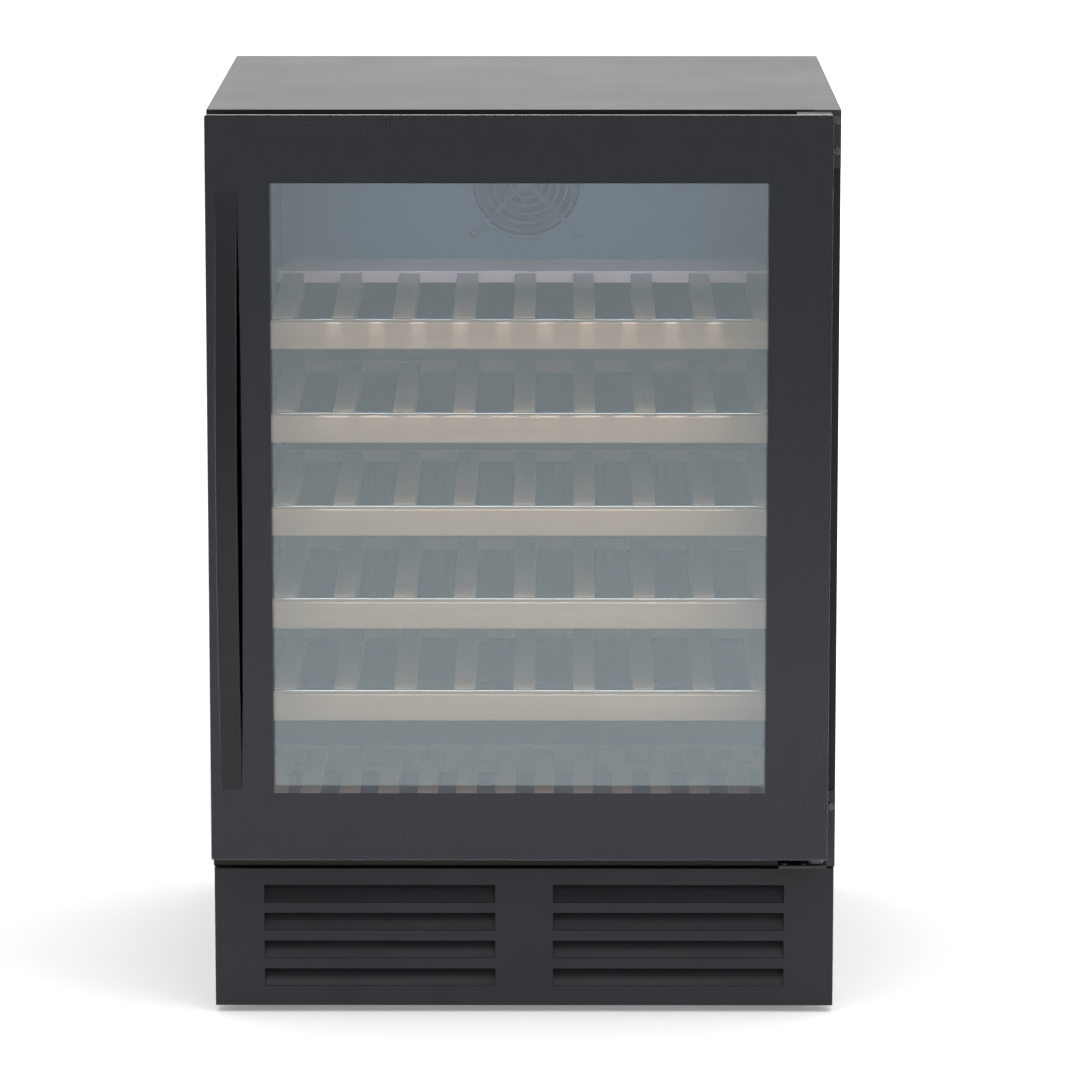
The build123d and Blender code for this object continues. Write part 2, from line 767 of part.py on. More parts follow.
def hinge_bushes():
    """Flanged plastic bushes in the door's top and bottom edge."""
    bore = pin_radius + shaft_gap
    low = (frame_z[0], frame_z[0] + bush_length)
    high = (frame_z[1] - bush_length, frame_z[1])
    washer = (lower_plate_top + pin_washer_gap, frame_z[0])
    lower = post(bore + bush_wall, hinge_x, hinge_y, low) + post(bush_flange, hinge_x, hinge_y, washer)
    lower -= post(bore, hinge_x, hinge_y, (washer[0] - 1, low[1] + 1))
    upper = post(bore + bush_wall, hinge_x, hinge_y, high)
    upper -= post(bore, hinge_x, hinge_y, (high[0] - 1, high[1] + 1))
    return solids(lower, upper)


lower_plate_top = frame_z[0] - lower_plate_drop
upper_plate_low = frame_z[1] + upper_plate_rise
leg_x = (half - bracket_leg_width, half)


def upper_hinge():
    """Bracket on the flange with a plate over the door and a pin that hangs from it."""
    y_plate = (hinge_y - hinge_plate_front, y_flange)
    plate = block((hinge_x - hinge_plate_left, hinge_x + hinge_plate_right), y_plate,
                  (upper_plate_low, upper_plate_low + hinge_plate))
    leg = block(leg_x, (y_flange - bracket_wall, y_flange), (overall_height - upper_leg, overall_height))
    bracket = plate + leg
    bracket += post(pin_radius, hinge_x, hinge_y, (upper_plate_low - pin_engagement, upper_plate_low))
    for drop in upper_screw_drops:
        bracket -= axle(screw_radius, screw_x, (y_flange - 9, y_flange + 1), overall_height - drop)
    return bracket


screw_x = half - screw_inset
upper_screw_drops = (10.0, 39.0)
lower_screw_rise = 61.0     # above the lower leg's foot
lower_leg_low = lower_plate_top - hinge_plate - lower_leg_drop


def lower_hinge():
    """Bracket under the door with an upright pin, a flange leg and a stop tab."""
    y_plate = (hinge_y - lower_plate_front, y_flange)
    plate = block((hinge_x - lower_plate_left, hinge_x + hinge_plate_right), y_plate,
                  (lower_plate_top - hinge_plate, lower_plate_top))
    leg = block(leg_x, (y_flange - bracket_wall, y_flange),
                (max(lower_leg_low, deck_low), lower_leg_low + lower_leg))
    bracket = plate + leg
    bracket += post(pin_radius, hinge_x, hinge_y,
                    (lower_plate_top, frame_z[0] + pin_engagement))
    bracket -= axle(screw_radius, screw_x, (y_flange - 9, y_flange + 1), lower_leg_low + lower_screw_rise)
    return bracket


def pan_head(x, y, z, length):
    """Pan-head screw that points at the wall: shank and a domed head in front."""
    shank = axle(screw_radius, x, (y, y + length), z)
    head = axle(screw_head_radius, x, (y - screw_head_height, y), z)
    rim = head.edges().sort_by(Axis.Y)[0]
    return shank + fillet(rim, screw_head_height * 0.6)


def hinge_screws():
    """Screws that hold both hinge brackets, and the two plate rivets of the lower one."""
    y = y_flange - bracket_wall
    screws = [pan_head(screw_x, y, overall_height - drop, bracket_wall) for drop in upper_screw_drops]
    screws.append(pan_head(screw_x, y, lower_leg_low + lower_screw_rise, bracket_wall))
    for offset in rivet_offsets:
        rivet = post(rivet_radius, hinge_x + offset, hinge_y - rivet_setback,
                     (lower_plate_top, lower_plate_top + rivet_height))
        screws.append(fillet(rivet.edges().sort_by(Axis.Z)[-1], rivet_height / 2))
    return solids(*screws)


def guard_screws():
    spread = guard_screw_spacing / 2
    screws = [pan_head(sx * spread, y_duct - guard_lug_wall, fan_z + sz * spread, guard_lug_wall)
              for sx in (-1, 1) for sz in (-1, 1)]
    return solids(*screws)


# ================================================================ shelves
shelf_half = cavity_half - shelf_side_gap
y_strip = y_flange + shelf_setback
y_strip_back = y_strip + strip_wall
y_board = y_strip_back + deck_depth
shelf_pitch = (cavity_roof - cavity_floor - shelf_first - shelf_headroom) / (shelf_count - 1)
shelf_tops = [cavity_floor + shelf_first + shelf_pitch * k for k in reversed(range(shelf_count))]
slat_pitch = 2 * (shelf_half - slat_end - slat_width / 2) / (slat_count - 1)
board_half = cavity_half - board_side_gap
runner_drop = slat_wall + 1.5


def shelf_front(top):
    strip = block((-shelf_half, shelf_half), (y_strip, y_strip_back), (top - strip_height, top))
    return fillet(strip.edges().filter_by(Axis.X), strip_round)


def shelf_deck(top):
    """Slats hooked over the front rail, whose tails carry the rear board."""
    low = top - runner_drop
    rail_top = top + rail_above_strip
    y_notch = y_strip_back + rail_size
    section = Plane.YZ * Polygon(
        (y_strip_back, rail_top), (y_strip_back, rail_top + slat_over_rail),
        (y_board - slat_nose, top + slat_rise), (y_board, top + slat_rise - slat_nose),
        (y_board, top), (y_board + slat_tail, top), (y_board + slat_tail, low),
        (y_notch, low), (y_notch, rail_top), align=None)
    slats = []
    for k in range(slat_count):
        x = (k - (slat_count - 1) / 2) * slat_pitch - slat_width / 2
        slats.append(Pos(x, 0, 0) * extrude(section, slat_width, dir=(1, 0, 0)))
    y_end = y_board + board_depth
    outline = Polygon(
        (-board_half, y_board), (board_half, y_board), (board_half, y_end - board_corner_y),
        (board_half - board_corner_x, y_end), (-board_half + board_corner_x, y_end),
        (-board_half, y_end - board_corner_y), align=None)
    board = Pos(0, 0, top) * extrude(outline, board_wall)
    return solids(*slats, board)


def shelf_frame(top):
    """Steel frame: two side runners and a polished rail behind the front strip."""
    low = top - runner_drop
    runner_z = (low - runner_height, low)
    bars = []
    for x in either_side(shelf_half - runner_wall, shelf_half):
        bars.append(block(x, (y_strip_back, y_board + board_depth), runner_z))
    rail = block((-shelf_half, shelf_half), (y_strip_back, y_strip_back + rail_size),
                 (low, top + rail_above_strip))
    whole = rail
    for runner in bars:
        whole += runner
    return whole


def shelf_ledges():
    """Runner ledges on the liner's sides: a flat under each runner and a lip beside it."""
    ledges = []
    for top in shelf_tops:
        ledge_top = top - runner_drop - runner_height - body_gap
        y = (y_strip_back + 6, y_board + board_depth)
        for sign in (-1, 1):
            flat = block(sorted((sign * (shelf_half - runner_wall), sign * cavity_half)), y,
                         (ledge_top - ledge_wall, ledge_top))
            lip = block(sorted((sign * (shelf_half + runner_gap), sign * cavity_half)), y,
                        (ledge_top, ledge_top + ledge_lip))
            ledges.append(flat + lip)
    return solids(*ledges)


def bottom_rack():
    """Fixed rack on the cavity floor: slats on two rails."""
    y = (y_flange + rack_setback, y_step - rack_step_gap)
    rail_top = cavity_floor + rack_rail_height
    pieces = []
    reach = cavity_half - rack_side_gap
    for k in range(rack_slats):
        end = reach - rack_slat_width / 2
        x = max(-end, min(end, (k - (rack_slats - 1) / 2) * rack_slat_pitch))
        slat = block((x - rack_slat_width / 2, x + rack_slat_width / 2), y,
                     (rail_top, rail_top + rack_slat_wall))
        pieces.append(fillet(slat.edges().filter_by(Axis.Y).sort_by(Axis.Z)[-2:], strip_round))
    for front in (y[0] + rack_rail_insets[0], y[1] - rack_rail_insets[1]):
        pieces.append(block((-reach, reach), (front, front + rack_rail_width), (cavity_floor, rail_top)))
    back = block((-reach, reach), (y[1], y[1] + rack_end_wall),
                 (cavity_floor, rail_top + rack_slat_wall + rack_end_rise))
    return solids(*pieces, back)


# ================================================================ machine room
floor_top = foot_height + pan_sheet
tray_x = (-225.0, -40.0)
y_tray = (y_room + 60.0, y_back - 32.0)
tray_z = (floor_top, floor_top + 26.0)
compressor_y = (y_room + sheet + y_back) / 2 + 6.0
plate_z = (floor_top + mount_height, floor_top + mount_height + foot_plate_wall)
shell_z = (plate_z[1], plate_z[1] + compressor_height)
sleeve_x = compressor_radius + sleeve_spread[0]
mount_places = [(compressor_x + sx * sleeve_x, compressor_y + sy * sleeve_spread[1])
                for sx in (-1, 1) for sy in (-1, 1)]


def compressor():
    """Welded shell with domed ends on a foot plate, with the pump inside."""
    outside = post(compressor_radius, compressor_x, compressor_y, shell_z)
    rims = outside.edges().filter_by(GeomType.CIRCLE)
    outside = fillet(rims, compressor_radius * shell_dome)
    hollow_z = grown(shell_z, -compressor_wall)
    inner_radius = compressor_radius - compressor_wall
    inside = post(inner_radius, compressor_x, compressor_y, hollow_z)
    inside = fillet(inside.edges().filter_by(GeomType.CIRCLE), inner_radius * shell_dome)
    shell = outside - inside
    plate = block(grown((compressor_x, compressor_x), compressor_radius + foot_plate_lap),
                  grown((compressor_y, compressor_y), foot_plate_half), plate_z)
    for x, y in mount_places:
        plate -= post(sleeve_hole, x, y, (0, plate_z[1] + 1))
    pump = post(compressor_radius * pump_share, compressor_x, compressor_y,
                (shell_z[0] + compressor_wall, shell_z[0] + compressor_height * pump_share))
    return solids(shell + plate, pump)


def compressor_mounts():
    """Rubber sleeves between the base pan and the compressor's foot plate."""
    sleeves = [post(sleeve_radius, x, y, (floor_top, plate_z[0]))
               + post(sleeve_hole, x, y, (plate_z[0], plate_z[1] + sleeve_rise))
               for x, y in mount_places]
    return solids(*sleeves)


relay_reach = 34.0
relay_half = 30.0
relay_rise = (45.0, 110.0)      # above the shell's foot


def terminal_cover():
    """Plastic cover over the compressor's start relay."""
    x = (compressor_x + compressor_radius * 0.8, compressor_x + compressor_radius + relay_reach)
    box = block(x, grown((compressor_y, compressor_y), relay_half),
                (shell_z[0] + relay_rise[0], shell_z[0] + relay_rise[1]))
    return box - post(compressor_radius, compressor_x, compressor_y, shell_z)


condenser_x = (-235.0, 60.0)
condenser_y = (y_plinth + 22.0, y_plinth + 92.0)
room_z = (floor_top + room_air, deck_low - room_air)
condenser_tube = 3.5
condenser_rows = 4
condenser_fins = 26
condenser_fin_inset = 6.0
condenser_column_inset = 17.0
condenser_plate = 1.5
condenser_columns = grown(condenser_y, -condenser_column_inset)
condenser_heights = [room_z[0] + (room_z[1] - room_z[0]) * (k + 0.5) / condenser_rows
                     for k in range(condenser_rows)]


def condenser():
    """Tube coil through upright fins, close behind the grille."""
    runs = [(y, z) for z in condenser_heights for y in condenser_columns]
    fins = []
    first, last = grown(condenser_x, -condenser_fin_inset)
    for k in range(condenser_fins):
        x = first + k * (last - first) / (condenser_fins - 1)
        fin = block(grown((x, x), fin_wall / 2), condenser_y, room_z)
        for y, z in runs:
            fin -= bar(condenser_tube, (x - 1, x + 1), y, z)
        fins.append(fin)
    tubes = [bar(condenser_tube, condenser_x, y, z) for y, z in runs]
    ends = [block(x, condenser_y, room_z) for x in
            ((condenser_x[0] - condenser_plate, condenser_x[0]),
             (condenser_x[1], condenser_x[1] + condenser_plate))]
    return solids(*tubes, *fins, *ends)


condenser_fan_x = sum(condenser_x) / 2
condenser_fan_y = condenser_y[1] + 12.0
condenser_fan_z = sum(room_z) / 2
fan_offset_y = y_duct + duct_wall + 0.5


def filter_drier():
    """Copper capsule in the liquid line."""
    capsule = axle(drier_radius, drier_x, drier_y, drier_z)
    return fillet(capsule.edges().filter_by(GeomType.CIRCLE), drier_round)


drier_x = 40.0
drier_z = 70.0
pipe_bend = 16.0
drier_radius = 9.5
drier_round = 6.0
drier_y = (condenser_y[1] + 60.0, condenser_y[1] + 165.0)
discharge_rise = 30.0
discharge_turn = 28.0
discharge_lane = 75.0       # behind the condenser
side_lane = (30.0, 60.0)    # discharge and liquid runs beside the condenser
liquid_lane = 20.0


def pipe(*points):
    """Copper pipe: straight runs joined by arcs, through the given points."""
    path = FilletPolyline(*points, radius=pipe_bend) if len(points) > 2 else Line(*points)
    start = Plane(origin=path @ 0, z_dir=path % 0)
    return sweep(start * Circle(pipe_radius), path=path)


def refrigerant_pipes():
    """Discharge pipe to the condenser and liquid line through the drier."""
    low = shell_z[0] + discharge_rise
    first, last = condenser_columns
    side = condenser_x[1] + condenser_plate
    x_out = compressor_x - compressor_radius
    x_turn = x_out - discharge_turn
    x_near, x_far = (side + lane for lane in side_lane)
    y_lane = condenser_y[1] + discharge_lane
    y_liquid = condenser_y[1] + liquid_lane
    first_run = condenser_heights[0]
    third_run = condenser_heights[2]
    discharge = pipe((x_out, compressor_y, low), (x_turn, compressor_y, low), (x_turn, y_lane, low),
                     (x_near, y_lane, low), (x_near, first, low), (x_near, first, first_run),
                     (side, first, first_run))
    liquid = pipe((side, last, third_run), (x_far, last, third_run), (x_far, y_liquid, third_run),
                  (drier_x, y_liquid, third_run), (drier_x, y_liquid, drier_z),
                  (drier_x, drier_y[0], drier_z))
    return solids(discharge, liquid)


def drip_tray():
    """Open tray that catches the defrost water."""
    tray = block(tray_x, y_tray, tray_z)
    return tray - block(grown(tray_x, -tray_wall), grown(y_tray, -tray_wall),
                        (tray_z[0] + tray_wall, tray_z[1] + 1))


def drain_tube():
    return drain_run(drain_radius) - drain_run(drain_radius - drain_wall)


power_x = (170.0, 275.0)
power_y = (y_plinth + 60.0, y_plinth + 190.0)
power_z = (floor_top + 4.0, deck_low - 20.0)
power_wall = 2.5
power_vents = 6
power_vent_pitch = 16.0
power_vent_width = 6.0
power_vent_inset = 20.0


def power_box():
    """Control electronics: a vented box with a lid."""
    box = block(power_x, power_y, power_z)
    box -= block(grown(power_x, -power_wall), grown(power_y, -power_wall), grown(power_z, -power_wall))
    for k in range(power_vents):
        y = power_y[0] + power_vent_inset + power_vent_pitch * k
        box -= block((power_x[0] - 1, power_x[0] + power_wall + 1), (y, y + power_vent_width),
                     grown(power_z, -power_vent_inset))
    return box + block(power_x, power_y, (floor_top, power_z[0]))


# ================================================================ feet
def foot(x, y):
    """Levelling foot: round pad, hexagon and a smooth stud in place of its thread."""
    pad = post(foot_pad_radius, x, y, (0, foot_pad_height))
    pad = fillet(pad.edges().filter_by(GeomType.CIRCLE), foot_pad_round)
    nut = Pos(x, y, foot_pad_height) * extrude(
        RegularPolygon(foot_nut_radius, 6), foot_height - foot_pad_height - body_gap)
    stud_top = foot_height + boss_height - foot_stud_short
    stud = post(foot_stud_radius, x, y, (foot_pad_height, stud_top))
    return pad + nut + stud


# ================================================================ write each node
def fan_at(shape, x, z):
    return Pos(x, 0, z) * shape


nodes = {
    "side_panel_left": side_panel(-1),
    "side_panel_right": side_panel(1),
    "top_panel": top_panel(),
    "back_panel": back_panel(),
    "machine_room_ceiling": machine_room_ceiling(),
    "base_pan": base_pan(),
    "rear_cover": rear_cover(),
    "mains_inlet": mains_inlet(),
    "plinth_grille": plinth_grille(),
    "insulation": insulation(),
    "inner_liner": inner_liner(),
    "duct_cover": duct_cover(),
    "fan_guard": fan_guard(),
    "evaporator_fan_frame": fan_at(fan_frame(fan_offset_y), 0, fan_z),
    "evaporator_fan_rotor": fan_at(fan_rotor(fan_offset_y), 0, fan_z),
    "evaporator": evaporator(),
    "light_housing": light_housing(),
    "control_panel": control_panel(),
    "led_strip": led_strip(),
    "shelf_ledges": shelf_ledges(),
    "bottom_rack": bottom_rack(),
    "upper_hinge": upper_hinge(),
    "lower_hinge": lower_hinge(),
    "cabinet_screws": solids(hinge_screws(), guard_screws()),
    "compressor": compressor(),
    "compressor_mounts": compressor_mounts(),
    "terminal_cover": terminal_cover(),
    "condenser": condenser(),
    "condenser_fan_frame": fan_at(fan_frame(condenser_fan_y), condenser_fan_x, condenser_fan_z),
    "condenser_fan_rotor": fan_at(fan_rotor(condenser_fan_y), condenser_fan_x, condenser_fan_z),
    "refrigerant_pipes": solids(refrigerant_pipes(), filter_drier()),
    "drain_tray": solids(drip_tray(), drain_tube()),
    "power_box": power_box(),
    "outer_glass": outer_glass(),
    "inner_glass": inner_glass(),
    "glass_spacer": glass_spacer(),
    "door_frame": door_frame(),
    "door_seal": door_seal(),
    "door_handle": door_handle(),
    "handle_screws": handle_screws(),
    "hinge_bushes": hinge_bushes(),
}
for number, top in enumerate(shelf_tops, 1):
    nodes[f"shelf_{number}_front"] = shelf_front(top)
    nodes[f"shelf_{number}_deck"] = shelf_deck(top)
    nodes[f"shelf_{number}_frame"] = shelf_frame(top)

# one node holds a single foot; the four feet are named by where they stand
foot_names = ("foot_left_front", "foot_left_back", "foot_right_front", "foot_right_back")
for name, place in zip(foot_names, foot_places):
    nodes[name] = foot(*place)

os.makedirs("parts", exist_ok=True)
for name, shape in nodes.items():
    export_step(shape, f"parts/{name}.step")
print(len(nodes), "nodes written")
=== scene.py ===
"""Looks of the under-counter wine cooler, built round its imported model. Metres.

X runs left to right, Y from the door (-) to the wall (+), Z up from the floor. Each piece keeps its
place in its mesh, with its object at the origin, and rides on the body that it moves with.
"""
import json
from math import pi, radians

import bmesh
import bpy
import numpy as np
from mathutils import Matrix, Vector


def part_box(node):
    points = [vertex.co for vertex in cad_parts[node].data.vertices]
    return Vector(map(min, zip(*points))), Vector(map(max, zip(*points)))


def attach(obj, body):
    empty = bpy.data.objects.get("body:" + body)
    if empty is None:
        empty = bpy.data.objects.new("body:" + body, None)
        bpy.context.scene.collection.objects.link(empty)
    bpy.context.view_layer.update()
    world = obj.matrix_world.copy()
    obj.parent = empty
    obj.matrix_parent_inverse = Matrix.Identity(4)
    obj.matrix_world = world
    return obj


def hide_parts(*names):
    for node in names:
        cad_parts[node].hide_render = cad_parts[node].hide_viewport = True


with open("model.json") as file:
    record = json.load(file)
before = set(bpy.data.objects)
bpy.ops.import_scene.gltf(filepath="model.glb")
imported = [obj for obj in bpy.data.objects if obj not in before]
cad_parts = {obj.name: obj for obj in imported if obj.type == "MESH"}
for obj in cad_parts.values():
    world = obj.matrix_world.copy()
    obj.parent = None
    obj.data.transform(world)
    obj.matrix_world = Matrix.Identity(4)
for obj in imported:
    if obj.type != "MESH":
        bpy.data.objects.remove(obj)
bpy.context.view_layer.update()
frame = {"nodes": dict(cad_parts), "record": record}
nodes = frame["nodes"]
record = frame["record"]
body_of = {n: body for body, members in record["behaviour"]["bodies"].items() for n in members}
shelf_numbers = range(1, 6)
foot_nodes = [n for n in nodes if n.startswith("foot_")]


# ================================================================ shader effects
def node_group(name, inputs, outputs):
    """An empty shader group with named sockets: (name, type, default) in, (name, type) out."""
    tree = bpy.data.node_groups.new(name, "ShaderNodeTree")
    for label, kind, default in inputs:
        socket = tree.interface.new_socket(label, in_out="INPUT", socket_type="NodeSocket" + kind)
        if default is not None:
            socket.default_value = default
    for label, kind in outputs:
        tree.interface.new_socket(label, in_out="OUTPUT", socket_type="NodeSocket" + kind)
    return tree, tree.nodes.new("NodeGroupInput").outputs, tree.nodes.new("NodeGroupOutput").inputs


def add(tree, kind, settings=(), **sockets):
    """A node in a tree. Settings are its properties, and each socket gets a value or a link."""
    node = tree.nodes.new("ShaderNode" + kind)
    for key, value in dict(settings).items():
        setattr(node, key, value)
    for label, value in sockets.items():
        socket = node.inputs[int(label[1:]) if label[1:].isdigit() else label.replace("_", " ")]
        if isinstance(value, bpy.types.NodeSocket):
            tree.links.new(value, socket)
        else:
            socket.default_value = value
    return node


def mixed(tree, factor, first, second, blend="MIX"):
    """The colour between two colours."""
    node = tree.nodes.new("ShaderNodeMix")
    node.data_type = "RGBA"
    node.blend_type = blend
    for socket, value in zip((node.inputs[0], node.inputs[6], node.inputs[7]), (factor, first, second)):
        if isinstance(value, bpy.types.NodeSocket):
            tree.links.new(value, socket)
        else:
            socket.default_value = value
    return node.outputs[2]


def stretched(tree, vector, scale):
    """The coordinates multiplied by a scale on each axis."""
    return add(tree, "Mapping", i0=vector, i3=scale).outputs[0]


def make_grain_effect():
    """Fine pebbled skin of moulded plastic or powder coat: one noise on top of a finer one."""
    tree, given, result = node_group(
        "moulded grain", [("Vector", "Vector", None), ("Scale", "Float", 900.0)], [("Height", "Float")])
    coarse = add(tree, "TexNoise", Vector=given["Vector"], Scale=given["Scale"], Detail=2.0, Roughness=0.6)
    finer = add(tree, "Math", {"operation": "MULTIPLY"}, i0=given["Scale"], i1=3.1)
    fine = add(tree, "TexNoise", Vector=given["Vector"], Scale=finer.outputs[0], Detail=1.0)
    total = add(tree, "Math", {"operation": "MULTIPLY_ADD"}, i0=fine.outputs[0], i1=0.4, i2=coarse.outputs[0])
    tree.links.new(total.outputs[0], result["Height"])
    return tree


def make_uneven_effect():
    """A value that drifts between two ends over the surface, as handling and rolling leave gloss."""
    tree, given, result = node_group(
        "uneven gloss",
        [("Vector", "Vector", None), ("Scale", "Float", 6.0), ("Low", "Float", 0.3), ("High", "Float", 0.4)],
        [("Value", "Float")])
    cloud = add(tree, "TexNoise", Vector=given["Vector"], Scale=given["Scale"], Detail=4.0, Roughness=0.62)
    spread = add(tree, "MapRange", Value=cloud.outputs[0])
    spread.inputs["From Min"].default_value = 0.32
    spread.inputs["From Max"].default_value = 0.68
    tree.links.new(given["Low"], spread.inputs["To Min"])
    tree.links.new(given["High"], spread.inputs["To Max"])
    tree.links.new(spread.outputs[0], result["Value"])
    return tree


def make_timber_effect():
    """Beech: slow tone bands along the grain, fine pores, and short dark ray flecks.

    The grain runs along the vector's X. Each layer is a noise stretched along X.
    """
    tree, given, result = node_group(
        "beech grain",
        [("Vector", "Vector", None), ("Light", "Color", (0.56, 0.37, 0.268, 1)),
         ("Dark", "Color", (0.475, 0.295, 0.2, 1)),
         ("Fleck", "Color", (0.34, 0.21, 0.12, 1))],
        [("Color", "Color"), ("Height", "Float"), ("Roughness", "Float")])
    bands = add(tree, "TexNoise", Vector=stretched(tree, given["Vector"], (2.2, 70.0, 70.0)), Scale=1.0,
                Detail=5.0, Roughness=0.55, Distortion=0.35)
    band_mask = add(tree, "MapRange", Value=bands.outputs[0])
    band_mask.inputs["From Min"].default_value = 0.3
    band_mask.inputs["From Max"].default_value = 0.7
    pores = add(tree, "TexNoise", Vector=stretched(tree, given["Vector"], (60.0, 1400.0, 1400.0)), Scale=1.0,
                Detail=2.0)
    fleck_place = stretched(tree, given["Vector"], (230.0, 1050.0, 1050.0))
    flecks = add(tree, "TexNoise", Vector=fleck_place, Scale=1.0, Detail=1.0)
    fleck_mask = add(tree, "MapRange", Value=flecks.outputs[0])
    fleck_mask.inputs["From Min"].default_value = 0.62
    fleck_mask.inputs["From Max"].default_value = 0.72
    fleck_mask.inputs["To Max"].default_value = 0.55
    tone = mixed(tree, band_mask.outputs[0], given["Light"], given["Dark"])
    pore_tone = add(tree, "MapRange", Value=pores.outputs[0])
    pore_tone.inputs["To Min"].default_value = 0.86
    pore_tone.inputs["To Max"].default_value = 1.1
    pored = add(tree, "VectorMath", {"operation": "SCALE"}, i0=tone, Scale=pore_tone.outputs[0])
    tree.links.new(mixed(tree, fleck_mask.outputs[0], pored.outputs[0], given["Fleck"]), result["Color"])
    tree.links.new(pores.outputs[0], result["Height"])
    gloss = add(tree, "MapRange", Value=bands.outputs[0])
    gloss.inputs["To Min"].default_value = 0.42
    gloss.inputs["To Max"].default_value = 0.6
    tree.links.new(gloss.outputs[0], result["Roughness"])
    return tree


def make_brushed_effect():
    """Hairlines of brushed metal: a noise drawn out long along the vector's X."""
    tree, given, result = node_group(
        "brushed lines", [("Vector", "Vector", None), ("Low", "Float", 0.2), ("High", "Float", 0.36)],
        [("Roughness", "Float"), ("Height", "Float")])
    lines = add(tree, "TexNoise", Vector=stretched(tree, given["Vector"], (14.0, 2600.0, 2600.0)), Scale=1.0,
                Detail=3.0)
    gloss = add(tree, "MapRange", Value=lines.outputs[0])
    tree.links.new(given["Low"], gloss.inputs["To Min"])
    tree.links.new(given["High"], gloss.inputs["To Max"])
    tree.links.new(gloss.outputs[0], result["Roughness"])
    tree.links.new(lines.outputs[0], result["Height"])
    return tree


def make_spangle_effect():
    """Zinc crystals of galvanised sheet: cells a centimetre across, each with its own tone."""
    tree, given, result = node_group(
        "zinc spangle", [("Vector", "Vector", None), ("Scale", "Float", 95.0)],
        [("Color", "Color"), ("Roughness", "Float")])
    cells = add(tree, "TexVoronoi", Vector=given["Vector"], Scale=given["Scale"])
    tone = add(tree, "SeparateColor", Color=cells.outputs["Color"])
    shade = mixed(tree, tone.outputs[0], (0.36, 0.37, 0.38, 1), (0.52, 0.53, 0.55, 1))
    tree.links.new(shade, result["Color"])
    gloss = add(tree, "MapRange", Value=tone.outputs[1])
    gloss.inputs["To Min"].default_value = 0.28
    gloss.inputs["To Max"].default_value = 0.5
    tree.links.new(gloss.outputs[0], result["Roughness"])
    return tree


def make_dust_effect():
    """A thin grey film on faces that look up, broken by a noise."""
    tree, given, result = node_group(
        "settled dust", [("Vector", "Vector", None), ("Color", "Color", None), ("Amount", "Float", 0.1)],
        [("Color", "Color")])
    up = add(tree, "SeparateXYZ", Vector=add(tree, "NewGeometry").outputs["Normal"])
    facing = add(tree, "MapRange", Value=up.outputs[2])
    facing.inputs["From Min"].default_value = 0.4
    patch = add(tree, "TexNoise", Vector=given["Vector"], Scale=38.0, Detail=5.0)
    amount = add(tree, "Math", {"operation": "MULTIPLY"}, i0=facing.outputs[0], i1=given["Amount"])
    share = add(tree, "Math", {"operation": "MULTIPLY"}, i0=amount.outputs[0], i1=patch.outputs[0])
    tree.links.new(mixed(tree, share.outputs[0], given["Color"], (0.35, 0.34, 0.32, 1)), result["Color"])
    return tree


grain_effect = make_grain_effect()
uneven_effect = make_uneven_effect()
timber_effect = make_timber_effect()
brushed_effect = make_brushed_effect()
spangle_effect = make_spangle_effect()
dust_effect = make_dust_effect()


# ================================================================ materials
def use(tree, effect, **sockets):
    """Places a shared effect in a material."""
    node = tree.nodes.new("ShaderNodeGroup")
    node.node_tree = effect
    for label, value in sockets.items():
        if isinstance(value, bpy.types.NodeSocket):
            tree.links.new(value, node.inputs[label])
        else:
            node.inputs[label].default_value = value
    return node.outputs


def blank_material(name, **sockets):
    """A material with one Principled shader: its tree, the shader and the object's coordinates."""
    material = bpy.data.materials.new(name)
    material.use_nodes = True
    tree = material.node_tree
    shader = next(n for n in tree.nodes if n.type == "BSDF_PRINCIPLED")
    for label, value in sockets.items():
        shader.inputs[label.replace("_", " ")].default_value = value
    place = tree.nodes.new("ShaderNodeTexCoord").outputs["Object"]
    return material, tree, shader, place


def relief(tree, shader, height, distance, strength=1.0):
    """Turns a height into the shader's bump. Distance is in metres."""
    bump = add(tree, "Bump", Height=height, Distance=distance, Strength=strength)
    tree.links.new(bump.outputs[0], shader.inputs["Normal"])


def coated(name, colour, gloss, grain_scale, grain_depth, dust=0.0, **sockets):
    """Paint or plastic: one tone with drifting gloss, a fine skin and a little dust."""
    material, tree, shader, place = blank_material(name, **sockets)
    drift = use(tree, uneven_effect, Vector=place, Scale=7.0, Low=gloss[0], High=gloss[1])
    tree.links.new(drift["Value"], shader.inputs["Roughness"])
    dark = [c * 0.86 for c in colour]
    tone = use(tree, uneven_effect, Vector=place, Scale=23.0, Low=0.0, High=1.0)
    shade = mixed(tree, tone["Value"], (*dark, 1), (*colour, 1))
    film = use(tree, dust_effect, Vector=place, Color=shade, Amount=dust)
    tree.links.new(film["Color"], shader.inputs["Base Color"])
    if grain_depth > 0:
        skin = use(tree, grain_effect, Vector=place, Scale=grain_scale)
        relief(tree, shader, skin["Height"], grain_depth)
    return material


def metal(name, colour, low, high, along, depth, coat=0.0):
    """Bare metal with hairlines along one axis: X as it is, Y or Z by a turn of the coordinates."""
    material, tree, shader, place = blank_material(name, Metallic=1.0, Coat_Weight=coat)
    turn = {"X": (0, 0, 0), "Y": (0, 0, pi / 2), "Z": (0, pi / 2, 0)}[along]
    turned = add(tree, "Mapping", i0=place, i2=turn).outputs[0]
    lines = use(tree, brushed_effect, Vector=turned, Low=low, High=high)
    tree.links.new(lines["Roughness"], shader.inputs["Roughness"])
    tone = use(tree, uneven_effect, Vector=place, Scale=11.0, Low=0.0, High=1.0)
    dark = [c * 0.9 for c in colour]
    tree.links.new(mixed(tree, tone["Value"], (*dark, 1), (*colour, 1)), shader.inputs["Base Color"])
    relief(tree, shader, lines["Height"], depth)
    return material


